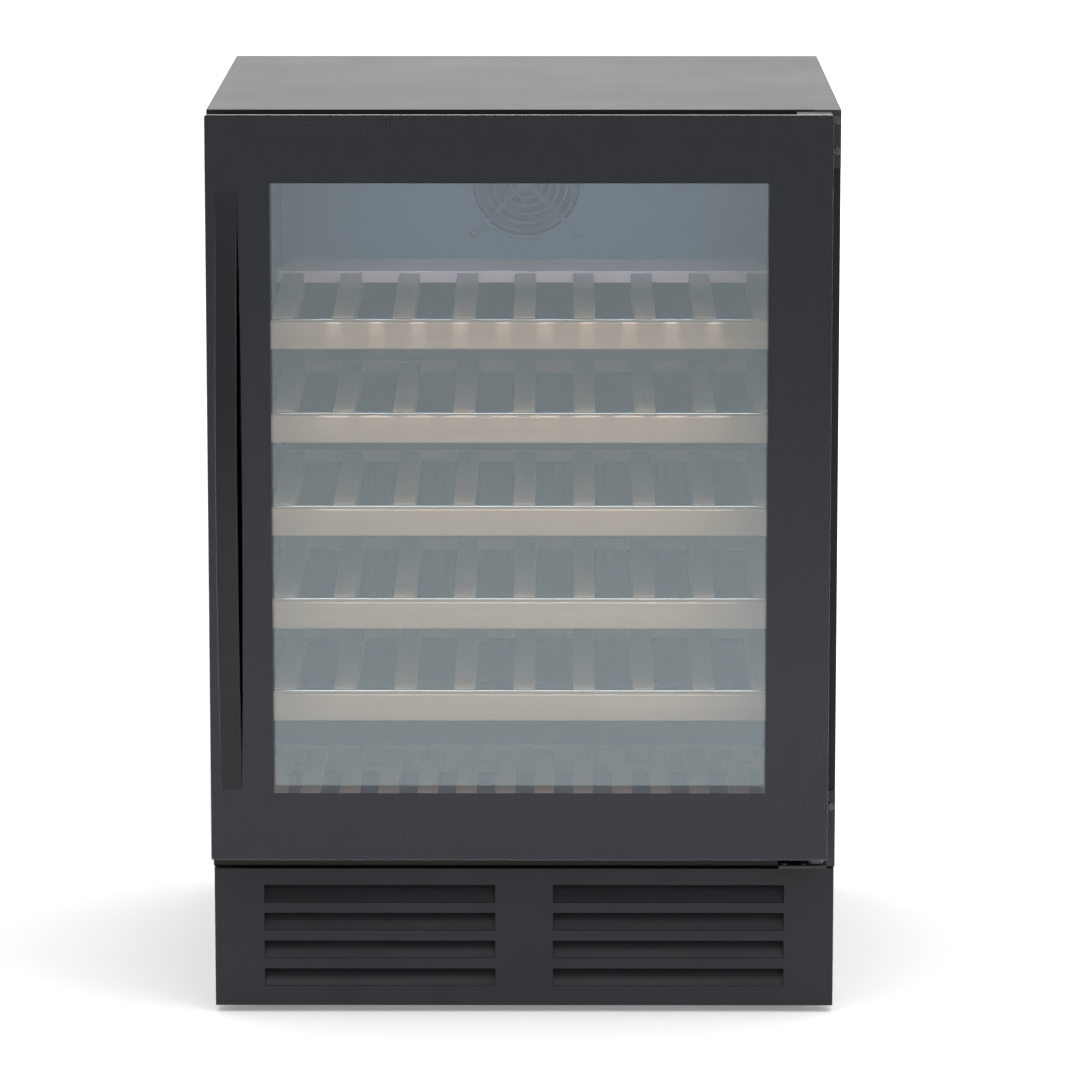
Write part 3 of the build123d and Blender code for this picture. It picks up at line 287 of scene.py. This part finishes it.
def casing_paint():
    return coated("casing paint", (0.0125, 0.0112, 0.0108), (0.34, 0.37), 1500.0, 0.00002, 0.015,
                  Specular_IOR_Level=0.24, Specular_Tint=(1.0, 0.95, 0.93, 1))


def grille_plastic():
    return coated("grille plastic", (0.0145, 0.0136, 0.0185), (0.5, 0.6), 1300.0, 0.00008, 0.02,
                  Specular_IOR_Level=0.36)


def frame_plastic():
    return coated("frame plastic", (0.008, 0.008, 0.008), (0.42, 0.52), 1600.0, 0.00004)


def machine_plastic():
    return coated("machine room plastic", (0.016, 0.016, 0.016), (0.45, 0.6), 1200.0, 0.00005, 0.15)


def liner_plastic():
    return coated("liner plastic", (0.022, 0.025, 0.032), (0.36, 0.46), 900.0, 0.00004)


def hinge_paint():
    return coated("hinge paint", (0.012, 0.012, 0.013), (0.34, 0.44), 1400.0, 0.00003)


def compressor_paint():
    return coated("compressor enamel", (0.01, 0.01, 0.011), (0.2, 0.34), 500.0, 0.00008, 0.25,
                  Coat_Weight=0.3)


def handle_finish():
    return coated("handle finish", (0.0048, 0.004, 0.0068), (0.26, 0.32), 2200.0, 0.000012,
                  Specular_IOR_Level=0.36)


def seal_rubber():
    return coated("seal rubber", (0.014, 0.014, 0.015), (0.55, 0.7), 1800.0, 0.00003, Specular_IOR_Level=0.35)


def bush_plastic():
    return coated("bush plastic", (0.06, 0.06, 0.06), (0.3, 0.4), 1500.0, 0.00002)


def zinc_plate():
    return metal("zinc plate", (0.62, 0.63, 0.66), 0.2, 0.34, "X", 0.00001)


def blackened_steel():
    return metal("blackened steel", (0.09, 0.09, 0.095), 0.24, 0.34, "X", 0.00001)


def fin_aluminium():
    return metal("fin aluminium", (0.78, 0.79, 0.8), 0.25, 0.42, "Z", 0.00001)


def polished_steel():
    return metal("polished steel", (0.76, 0.77, 0.79), 0.08, 0.16, "X", 0.000004)


def copper_pipe():
    return metal("copper pipe", (0.72, 0.36, 0.22), 0.22, 0.38, "Y", 0.00001)


def galvanised_sheet():
    material, tree, shader, place = blank_material("galvanised sheet", Metallic=1.0)
    crystals = use(tree, spangle_effect, Vector=place, Scale=95.0)
    tree.links.new(crystals["Color"], shader.inputs["Base Color"])
    tree.links.new(crystals["Roughness"], shader.inputs["Roughness"])
    skin = use(tree, grain_effect, Vector=place, Scale=300.0)
    relief(tree, shader, skin["Height"], 0.00002)
    return material


def rigid_foam():
    """Foam: an open froth of cells, yellowed in patches."""
    material, tree, shader, place = blank_material("rigid foam", Roughness=0.95)
    tone = use(tree, uneven_effect, Vector=place, Scale=9.0, Low=0.0, High=1.0)
    shade = mixed(tree, tone["Value"], (0.78, 0.66, 0.38, 1), (0.84, 0.76, 0.52, 1))
    tree.links.new(shade, shader.inputs["Base Color"])
    froth = add(tree, "TexVoronoi", Vector=place, Scale=900.0)
    relief(tree, shader, froth.outputs["Distance"], 0.0004)
    return material


def beech(name, along):
    """Lacquered beech with its grain along one axis."""
    material, tree, shader, place = blank_material(name, Coat_Weight=0.12, Coat_Roughness=0.25)
    turn = {"X": (0, 0, 0), "Y": (0, 0, pi / 2)}[along]
    turned = add(tree, "Mapping", i0=place, i2=turn).outputs[0]
    timber = use(tree, timber_effect, Vector=turned)
    tree.links.new(timber["Color"], shader.inputs["Base Color"])
    tree.links.new(timber["Roughness"], shader.inputs["Roughness"])
    relief(tree, shader, timber["Height"], 0.00003)
    return material


def pane_glass(name, ior, tint, reflection):
    """Clear glass that lets lamps through: shadow rays pass, all other rays see the glass."""
    material, tree, shader, place = blank_material(
        name, IOR=ior, Transmission_Weight=1.0, Base_Color=(*tint, 1), Specular_Tint=(*reflection, 1),
        Metallic=0.0)
    film = use(tree, uneven_effect, Vector=place, Scale=4.0, Low=0.0, High=0.012)
    tree.links.new(film["Value"], shader.inputs["Roughness"])
    clear = add(tree, "BsdfTransparent", Color=(*tint, 1))
    shadow = tree.nodes.new("ShaderNodeLightPath").outputs["Is Shadow Ray"]
    choice = add(tree, "MixShader", i0=shadow, i1=shader.outputs[0], i2=clear.outputs[0])
    output = next(n for n in tree.nodes if n.type == "OUTPUT_MATERIAL")
    tree.links.new(choice.outputs[0], output.inputs["Surface"])
    return material


def border_print():
    """Black enamel fired on the back of the door glass, slightly clouded."""
    return coated("fired enamel", (0.0005, 0.0005, 0.0007), (0.6, 0.7), 2600.0, 0.0,
                  Specular_IOR_Level=0.0)


def touch_glass():
    """Black acrylic of the touch panel."""
    return coated("touch acrylic", (0.005, 0.005, 0.006), (0.06, 0.12), 3000.0, 0.000002, Coat_Weight=0.5)


def lamp_board():
    """White solder mask round lit lamps, which stand below the board; the whole strip glows, board and lamps
    alike.
    """
    material, tree, shader, place = blank_material("lamp board", Roughness=0.4)
    shader.inputs["Emission Color"].default_value = (0.82, 0.91, 1.0, 1)
    shader.inputs["Emission Strength"].default_value = 6.0
    tone = use(tree, uneven_effect, Vector=place, Scale=60.0, Low=0.0, High=1.0)
    shade = mixed(tree, tone["Value"], (0.82, 0.84, 0.86, 1), (0.9, 0.92, 0.94, 1))
    tree.links.new(shade, shader.inputs["Base Color"])
    return material


paint = casing_paint()
grille_skin = grille_plastic()
frame_skin = frame_plastic()
machine_skin = machine_plastic()
liner_skin = liner_plastic()
hinge_skin = hinge_paint()
enamel = compressor_paint()
handle_skin = handle_finish()
rubber = seal_rubber()
bush_skin = bush_plastic()
zinc = zinc_plate()
black_screw = blackened_steel()
aluminium = fin_aluminium()
bright_steel = polished_steel()
copper = copper_pipe()
galvanised = galvanised_sheet()
foam = rigid_foam()
beech_across = beech("beech across", "X")
beech_deep = beech("beech front to back", "Y")
door_pane = pane_glass("door glass", 1.55, (0.97, 0.985, 0.98), (0.84, 0.87, 0.98))
coated_pane = pane_glass("coated glass", 1.74, (0.93, 0.975, 0.975), (0.8, 0.97, 1.0))
enamel_print = border_print()
acrylic = touch_glass()
lamps = lamp_board()


# ================================================================ making pieces
def place_piece(obj, material, node, replaced=True):
    """Gives a piece its material and lets it ride with and stand for a CAD node."""
    if material is not None:
        obj.data.materials.clear()
        obj.data.materials.append(material)
    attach(obj, body_of[node])
    if replaced:
        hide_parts(node)
    return obj


def new_object(name, mesh):
    obj = bpy.data.objects.new(name, mesh)
    bpy.context.scene.collection.objects.link(obj)
    return obj


def surface(name, grids, wrap_rows=False, cap_rows=False, sharp=40.0):
    """One mesh over grids of points, each (rows, columns, 3) with its columns joined into a loop.

    Each cell of a grid is a quad. The rows may close on themselves, or the first and last row get
    a flat cap each. All of it is worked out on whole index arrays.
    """
    points = []
    faces = []
    start = 0
    for grid in grids:
        rows, columns = grid.shape[:2]
        index = start + np.arange(rows * columns).reshape(rows, columns)
        below = index if wrap_rows else index[:-1]
        above = np.roll(index, -1, axis=0) if wrap_rows else index[1:]
        quads = np.stack([below, np.roll(below, -1, axis=1), np.roll(above, -1, axis=1), above], axis=-1)
        faces += quads.reshape(-1, 4).tolist()
        if cap_rows:
            faces += [index[0][::-1].tolist(), index[-1].tolist()]
        points.append(grid.reshape(-1, 3))
        start += rows * columns
    mesh = bpy.data.meshes.new(name)
    mesh.from_pydata(np.concatenate(points).tolist(), [], faces)
    mend = bmesh.new()
    mend.from_mesh(mesh)
    bmesh.ops.remove_doubles(mend, verts=mend.verts, dist=1e-7)
    bmesh.ops.recalc_face_normals(mend, faces=mend.faces)
    mend.to_mesh(mesh)
    mend.free()
    mesh.polygons.foreach_set("use_smooth", np.ones(len(mesh.polygons), bool))
    mesh.set_sharp_from_angle(angle=radians(sharp))
    return new_object(name, mesh)


def rounded_block(half_wide, half_high, radius, per_corner=5):
    """Outline of a rectangle with round corners: four quarter circles, joined by straight runs."""
    turn = np.linspace(0, pi / 2, per_corner)
    loops = []
    for k, (sx, sy) in enumerate(((1, 1), (-1, 1), (-1, -1), (1, -1))):
        angle = turn + k * pi / 2
        loops.append(np.stack([sx * (half_wide - radius) + radius * np.cos(angle),
                               sy * (half_high - radius) + radius * np.sin(angle)], axis=-1))
    return np.concatenate(loops)


def finished(node, width, material, segments=2, angle=32.0, name=None):
    """A merged copy of a CAD node with its sharp edges rounded by a width in metres."""
    mesh = nodes[node].data.copy()
    mesh.name = node + "_finished"
    mend = bmesh.new()
    mend.from_mesh(mesh)
    bmesh.ops.remove_doubles(mend, verts=mend.verts, dist=2e-6)
    bmesh.ops.dissolve_limit(mend, angle_limit=radians(0.6), verts=mend.verts, edges=mend.edges)
    mend.to_mesh(mesh)
    mend.free()
    mesh.polygons.foreach_set("use_smooth", np.ones(len(mesh.polygons), bool))
    mesh.set_sharp_from_angle(angle=radians(angle))
    obj = new_object(name or node + "_finished", mesh)
    if width > 0:
        bevel = obj.modifiers.new("rounded edges", "BEVEL")
        bevel.width = width
        bevel.segments = segments
        bevel.limit_method = "ANGLE"
        bevel.angle_limit = radians(angle)
        bevel.harden_normals = True
    return place_piece(obj, material, node)


def box_of(node):
    low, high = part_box(node)
    return np.array(low), np.array(high)


def paint_faces(obj, material, chosen):
    """Gives a second material to the faces whose middles a rule picks."""
    obj.data.materials.append(material)
    middles = np.empty(len(obj.data.polygons) * 3)
    obj.data.polygons.foreach_get("center", middles)
    obj.data.polygons.foreach_set("material_index", chosen(middles.reshape(-1, 3)).astype(np.int32))


# ================================================================ casing and plinth
sill_depth = 0.02           # painted front of the sheet under the cavity


def make_casing():
    for node in ("side_panel_left", "side_panel_right", "top_panel"):
        finished(node, 0.0003, paint)
    finished("plinth_grille", 0.0004, grille_skin)
    for node in ("back_panel", "base_pan", "rear_cover"):
        finished(node, 0.0003, galvanised)
    sill_back = box_of("top_panel")[0][1] + sill_depth
    tray = finished("machine_room_ceiling", 0.0003, galvanised)
    paint_faces(tray, paint, lambda middle: middle[:, 1] < sill_back)
    finished("mains_inlet", 0.0005, machine_skin)
    finished("insulation", 0.0, foam)
    finished("inner_liner", 0.0, liner_skin)
    finished("shelf_ledges", 0.0015, liner_skin)
    for node in foot_nodes:
        finished(node, 0.0004, machine_skin)


# ================================================================ door
handle_wall = 0.008
handle_edge = 0.0013        # rounding of the bar's edges


def make_handle():
    """Flat bar bent to an arc: a rounded section carried round a circle in the Y-Z plane.

    A point of the section at radius r runs from angle -A to A with cos A = (R - reach) / r, where R
    is the outer radius, so that both ends lie flat in the plane of the glass.
    """
    low, high = box_of("door_handle")
    glass_front = box_of("outer_glass")[0][1]
    reach = glass_front - low[1]
    chord = (high[2] - low[2]) / 2
    outer = (chord ** 2 + reach ** 2) / (2 * reach)
    section = rounded_block((high[0] - low[0]) / 2, handle_wall / 2, handle_edge, 6)
    radius = outer - handle_wall / 2 - section[:, 1]
    limit = np.arccos((outer - reach) / radius)
    angle = np.linspace(-1, 1, 121)[:, None] * limit[None, :]
    across = np.broadcast_to((low[0] + high[0]) / 2 + section[:, 0], angle.shape)
    grid = np.stack([across, low[1] + outer - radius * np.cos(angle),
                     (low[2] + high[2]) / 2 + radius * np.sin(angle)], axis=-1)
    handle = surface("handle_bow", [grid], cap_rows=True, sharp=50)
    place_piece(handle, handle_skin, "door_handle")


def loop_round(x, z, radius, per_corner):
    """Points and outward normals round an upright rectangle with round corners, in X and Z."""
    outline = rounded_block((x[1] - x[0]) / 2, (z[1] - z[0]) / 2, radius, per_corner)
    angle = np.linspace(0, pi / 2, per_corner)[None, :] + np.arange(4)[:, None] * pi / 2
    normal = np.stack([np.cos(angle).ravel(), np.sin(angle).ravel()], axis=-1)
    return outline + ((x[0] + x[1]) / 2, (z[0] + z[1]) / 2), normal


border_left = 0.0603        # print from the glass edges to the clear window
border_right = 0.0596
border_top = 0.0641
border_bottom = 0.0648
print_edge = 0.0004         # print short of the glass edges
print_depth = 0.00012
print_gap = 0.00002         # print in front of the glass's back
print_corner = 0.0018
window_corner = 0.0015


def make_border():
    """Ring of print inside the glass's back: four loops, outer and inner, front and back."""
    low, high = box_of("outer_glass")
    window_x = (low[0] + border_left, high[0] - border_right)
    window_z = (low[2] + border_bottom, high[2] - border_top)
    print_x = (low[0] + print_edge, high[0] - print_edge)
    print_z = (low[2] + print_edge, high[2] - print_edge)
    outer, _ = loop_round(print_x, print_z, print_corner, 6)
    inner, _ = loop_round(window_x, window_z, window_corner, 6)
    back = high[1] - print_gap
    front = back - print_depth
    rows = [np.column_stack([loop[:, 0], np.full(len(loop), y), loop[:, 1]])
            for loop, y in ((outer, front), (outer, back), (inner, back), (inner, front))]
    border = surface("glass_border_print", [np.stack(rows)], wrap_rows=True)
    place_piece(border, enamel_print, "outer_glass", replaced=False)


seal_width = 0.014
seal_corner = 0.008
seal_squareness = 0.38      # power of the superellipse: 1 is an ellipse, 0 a rectangle
waist_pinch = 0.26          # share of the width lost at the waist
waist_place = -0.1          # in half depths from the middle
waist_spread = 0.3


def make_gasket():
    """Bellows seal: a rounded block pinched at its waist, carried round the frame's back.

    The section is a superellipse whose width shrinks near its middle depth by a bell curve.
    """
    low, high = box_of("door_seal")
    turn = np.linspace(0, 2 * pi, 40, endpoint=False)
    depth = np.sign(np.sin(turn)) * np.abs(np.sin(turn)) ** seal_squareness
    waist = 1 - waist_pinch * np.exp(-((depth - waist_place) / waist_spread) ** 2)
    side = np.sign(np.cos(turn)) * np.abs(np.cos(turn)) ** seal_squareness * waist
    inset = seal_width / 2
    path_x = (low[0] + inset, high[0] - inset)
    path_z = (low[2] + inset, high[2] - inset)
    path, normal = loop_round(path_x, path_z, seal_corner, 9)
    flat = path[:, None, :] + normal[:, None, :] * (side * inset)[None, :, None]
    y = (low[1] + high[1]) / 2 + depth * (high[1] - low[1]) / 2
    grid = np.stack([flat[..., 0], np.broadcast_to(y, flat.shape[:2]), flat[..., 1]], axis=-1)
    gasket = surface("door_gasket", [grid], wrap_rows=True, sharp=60)
    place_piece(gasket, rubber, "door_seal")


def make_door():
    finished("outer_glass", 0.0003, door_pane)
    finished("inner_glass", 0.0004, coated_pane)
    finished("glass_spacer", 0.0004, aluminium)
    finished("door_frame", 0.0008, frame_skin, segments=3)
    finished("handle_screws", 0.0003, zinc)
    finished("hinge_bushes", 0.0003, bush_skin)
    make_border()
    make_handle()
    make_gasket()


def make_hinges():
    finished("upper_hinge", 0.0004, hinge_skin)
    finished("lower_hinge", 0.0004, hinge_skin)
    finished("cabinet_screws", 0.0, black_screw)


# ================================================================ cold room
fan_blades = 7
fan_hub = 0.019
fan_tip = 0.053
fan_depth = 0.0102          # hub, front to back
fan_nose = 0.004            # hub's domed front
fan_collar = 0.0006         # step at the hub's back
fan_axle = 0.0025
axle_sunk = 0.001           # axle inside the hub
blade_sunk = 0.0015         # blade roots inside the hub
blade_root = (0.026, 0.0016, 0.62)      # chord, thickness, angle to the axle's plane
blade_tip = (0.038, 0.001, 0.32)
blade_sweep = 0.35
blade_limit = 0.0046        # half depth that a blade may take
blade_shift = 0.0004        # blades behind the hub's middle


def turned_round(centre, y0, profile_r, profile_y):
    """A profile of radii and depths turned round the fan's axle."""
    spin = np.linspace(0, 2 * pi, 48, endpoint=False)
    depth = np.broadcast_to(y0 + profile_y[:, None], (len(profile_r), len(spin)))
    return np.stack([centre[0] + profile_r[:, None] * np.cos(spin), depth,
                     centre[1] + profile_r[:, None] * np.sin(spin)], axis=-1)


def make_fan(node, name):
    """Axial fan wheel: a domed hub turned round its axle, and blades that twist as they rise.

    The hub's radius follows a quarter ellipse at its nose. A blade is a thin lens section whose
    angle to the axle grows from root to tip, swept back by the square of its height.
    """
    low, high = box_of(node)
    centre = ((low[0] + high[0]) / 2, (low[2] + high[2]) / 2)
    y0 = low[1]
    nose = np.linspace(0, pi / 2, 7)
    hub_r = np.concatenate([[1e-5], fan_hub * np.sin(nose[1:]), [fan_hub, fan_hub * 0.9, 1e-5]])
    hub_y = np.concatenate([[0], fan_nose * (1 - np.cos(nose[1:])),
                            [fan_depth, fan_depth + fan_collar, fan_depth + fan_collar]])
    axle_r = np.array([1e-5, fan_axle, fan_axle, 1e-5])
    axle_y = np.array([fan_depth - axle_sunk, fan_depth - axle_sunk, high[1] - y0, high[1] - y0])
    grids = [turned_round(centre, y0, hub_r, hub_y), turned_round(centre, y0, axle_r, axle_y)]
    rise = np.linspace(0, 1, 9)
    height = fan_hub - blade_sunk + (fan_tip - fan_hub + blade_sunk) * rise
    around = np.linspace(0, 2 * pi, 18, endpoint=False)
    width, thickness, pitch = [(root + (tip - root) * rise)[:, None]
                               for root, tip in zip(blade_root, blade_tip)]
    chord = width * np.cos(around) / 2
    wall = thickness * np.sin(around) / 2
    along = chord * np.cos(pitch) - wall * np.sin(pitch)
    across = np.clip(chord * np.sin(pitch) + wall * np.cos(pitch), -blade_limit, blade_limit)
    y = y0 + fan_depth / 2 + blade_shift + across
    sweep = along / height[:, None] + blade_sweep * rise[:, None] ** 2
    for k in range(fan_blades):
        angle = sweep + 2 * pi * k / fan_blades
        grids.append(np.stack([centre[0] + height[:, None] * np.sin(angle), y,
                               centre[1] + height[:, None] * np.cos(angle)], axis=-1))
    wheel = surface(name, grids, cap_rows=True, sharp=45)
    place_piece(wheel, machine_skin, node)


def make_cold_room():
    finished("duct_cover", 0.0006, liner_skin)
    finished("fan_guard", 0.0006, frame_skin)
    finished("evaporator_fan_frame", 0.0005, machine_skin)
    make_fan("evaporator_fan_rotor", "evaporator_fan_wheel")
    finished("evaporator", 0.0, aluminium)
    finished("light_housing", 0.0006, frame_skin)
    finished("control_panel", 0.0003, acrylic)
    finished("led_strip", 0.0, lamps)


deck_depth = 0.262          # from a shelf's strip to its rear board
board_play = 0.0001         # keeps the slats' ends out of the board's faces
rail_round = 0.0022


def make_shelves():
    """Strips and boards with their grain across, slats with their grain front to back."""
    for number in shelf_numbers:
        finished(f"shelf_{number}_front", 0.0, beech_across)
        finished(f"shelf_{number}_frame", rail_round, bright_steel, segments=6)
        deck = finished(f"shelf_{number}_deck", 0.001, beech_deep)
        board_front = box_of(f"shelf_{number}_front")[1][1] + deck_depth
        paint_faces(deck, beech_across, lambda middle: middle[:, 1] > board_front + board_play)
    finished("bottom_rack", 0.0, beech_deep)


# ================================================================ machine room
def make_machine_room():
    finished("compressor", 0.0005, enamel)
    finished("compressor_mounts", 0.0005, rubber)
    finished("terminal_cover", 0.001, machine_skin)
    finished("condenser", 0.0, aluminium)
    finished("condenser_fan_frame", 0.0005, machine_skin)
    make_fan("condenser_fan_rotor", "condenser_fan_wheel")
    finished("refrigerant_pipes", 0.0, copper)
    finished("drain_tray", 0.0006, machine_skin)
    finished("power_box", 0.0008, machine_skin)


make_casing()
make_door()
make_hinges()
make_cold_room()
make_shelves()
make_machine_room()


# ================================================================ studio
sweep_bend = 4.0
sweep_wall = 14.0           # far enough back for a camera behind the cooler
sweep_height = 7.0
sweep_reach = 18.0


def make_sweep():
    """Pale studio sweep: a level floor that curves up into a wall well behind the cooler."""
    angle = np.linspace(0, pi / 2, 16)
    y = np.concatenate([[-sweep_reach], sweep_wall - sweep_bend + sweep_bend * np.sin(angle), [sweep_wall]])
    z = np.concatenate([[0.0], sweep_bend - sweep_bend * np.cos(angle), [sweep_height]])
    x = np.array([-sweep_reach, sweep_reach])
    grid = np.stack([np.broadcast_to(x[None, :], (len(y), 2)), np.broadcast_to(y[:, None], (len(y), 2)),
                     np.broadcast_to(z[:, None], (len(y), 2))], axis=-1)
    index = np.arange(len(y) * 2).reshape(-1, 2)
    faces = np.stack([index[:-1, 0], index[:-1, 1], index[1:, 1], index[1:, 0]], axis=-1)
    mesh = bpy.data.meshes.new("studio_sweep")
    mesh.from_pydata(grid.reshape(-1, 3).tolist(), [], faces.tolist())
    mesh.polygons.foreach_set("use_smooth", np.ones(len(mesh.polygons), bool))
    sweep = new_object("studio_sweep", mesh)
    material, _, shader, _ = blank_material("pale floor", Base_Color=(0.93, 0.93, 0.93, 1), Roughness=0.85)
    shader.inputs["Specular IOR Level"].default_value = 0.2
    shader.inputs["Emission Color"].default_value = (1.0, 1.0, 1.0, 1)
    shader.inputs["Emission Strength"].default_value = 0.2
    mesh.materials.append(material)


def add_softbox(name, place, aim, size, power, colour=(1, 1, 1)):
    """A rectangular lamp at a place, turned to face a point."""
    lamp = bpy.data.lights.new(name, "AREA")
    lamp.shape = "RECTANGLE"
    lamp.size, lamp.size_y = size
    lamp.energy = power
    lamp.color = colour
    obj = new_object(name, lamp)
    obj.location = place
    obj.rotation_euler = (Vector(aim) - Vector(place)).to_track_quat("-Z", "Y").to_euler()
    return obj


lamp_count = 10
lamp_pitch = 0.04
lamp_lens_radius = 0.002
lamp_drop = 0.002           # area lamp below the strip of lamps
beam_drop = 0.001
beam_spread = 8.0           # degrees
beam_tilt = 2.5             # towards the shelf strip


def add_lights():
    world = bpy.data.worlds.new("studio air")
    bpy.context.scene.world = world
    world.use_nodes = True
    background = world.node_tree.nodes["Background"]
    background.inputs["Color"].default_value = (0.97, 0.985, 1.0, 1)
    background.inputs["Strength"].default_value = 0.7
    add_softbox("overhead softbox", (0.3, -1.6, 3.6), (0.0, -0.2, 0.3), (3.6, 2.6), 66.0)
    add_softbox("right fill", (1.7, -1.9, 1.1), (0.5, -1.3, 0.0), (0.8, 0.8), 7.0)
    add_softbox("backdrop wash", (0.0, 3.2, 6.5), (0.0, 11.0, 1.5), (11.0, 4.0), 760.0, (1.0, 0.95, 0.93))
    lamp_low, lamp_high = box_of("led_strip")
    middle_y = (lamp_low[1] + lamp_high[1]) / 2
    board_high = box_of("shelf_1_deck")[1]
    lamp_place = (0, middle_y, lamp_low[2] - lamp_drop)
    lamp = add_softbox("cabinet lamp", lamp_place, (0, board_high[1], board_high[2] + 0.02),
                       (lamp_high[0] - lamp_low[0], 0.006), 0.26, (0.46, 0.6, 1.0))
    lamp.data.spread = radians(44)
    for x in (np.arange(lamp_count) - (lamp_count - 1) / 2) * lamp_pitch:
        spot = bpy.data.lights.new("lamp beam", "SPOT")
        spot.energy = 3.0
        spot.color = (0.8, 0.9, 1.0)
        spot.spot_size = radians(beam_spread)
        spot.spot_blend = 0.6
        spot.shadow_soft_size = lamp_lens_radius
        beam = new_object("lamp beam", spot)
        beam.location = (x, middle_y, lamp_low[2] - beam_drop)
        beam.rotation_euler = (radians(beam_tilt), 0, 0)


eye_height = 1.436
eye_distance = 5.38         # in front of the door glass
eye_right = 0.031
eye_pitch = 10.195          # degrees below level
eye_turn = 0.166
lens_length = 193.6         # millimetres


def add_camera():
    """Eye height 1.44 m, 5.4 m in front of the door, a little right of the middle."""
    camera = bpy.data.cameras.new("camera")
    camera.lens = lens_length
    obj = new_object("camera", camera)
    obj.location = (eye_right, box_of("outer_glass")[0][1] - eye_distance, eye_height)
    obj.rotation_euler = (radians(90 - eye_pitch), 0, radians(eye_turn))
    bpy.context.scene.camera = obj


make_sweep()
add_lights()
add_camera()
bpy.context.scene.view_settings.view_transform = "Standard"
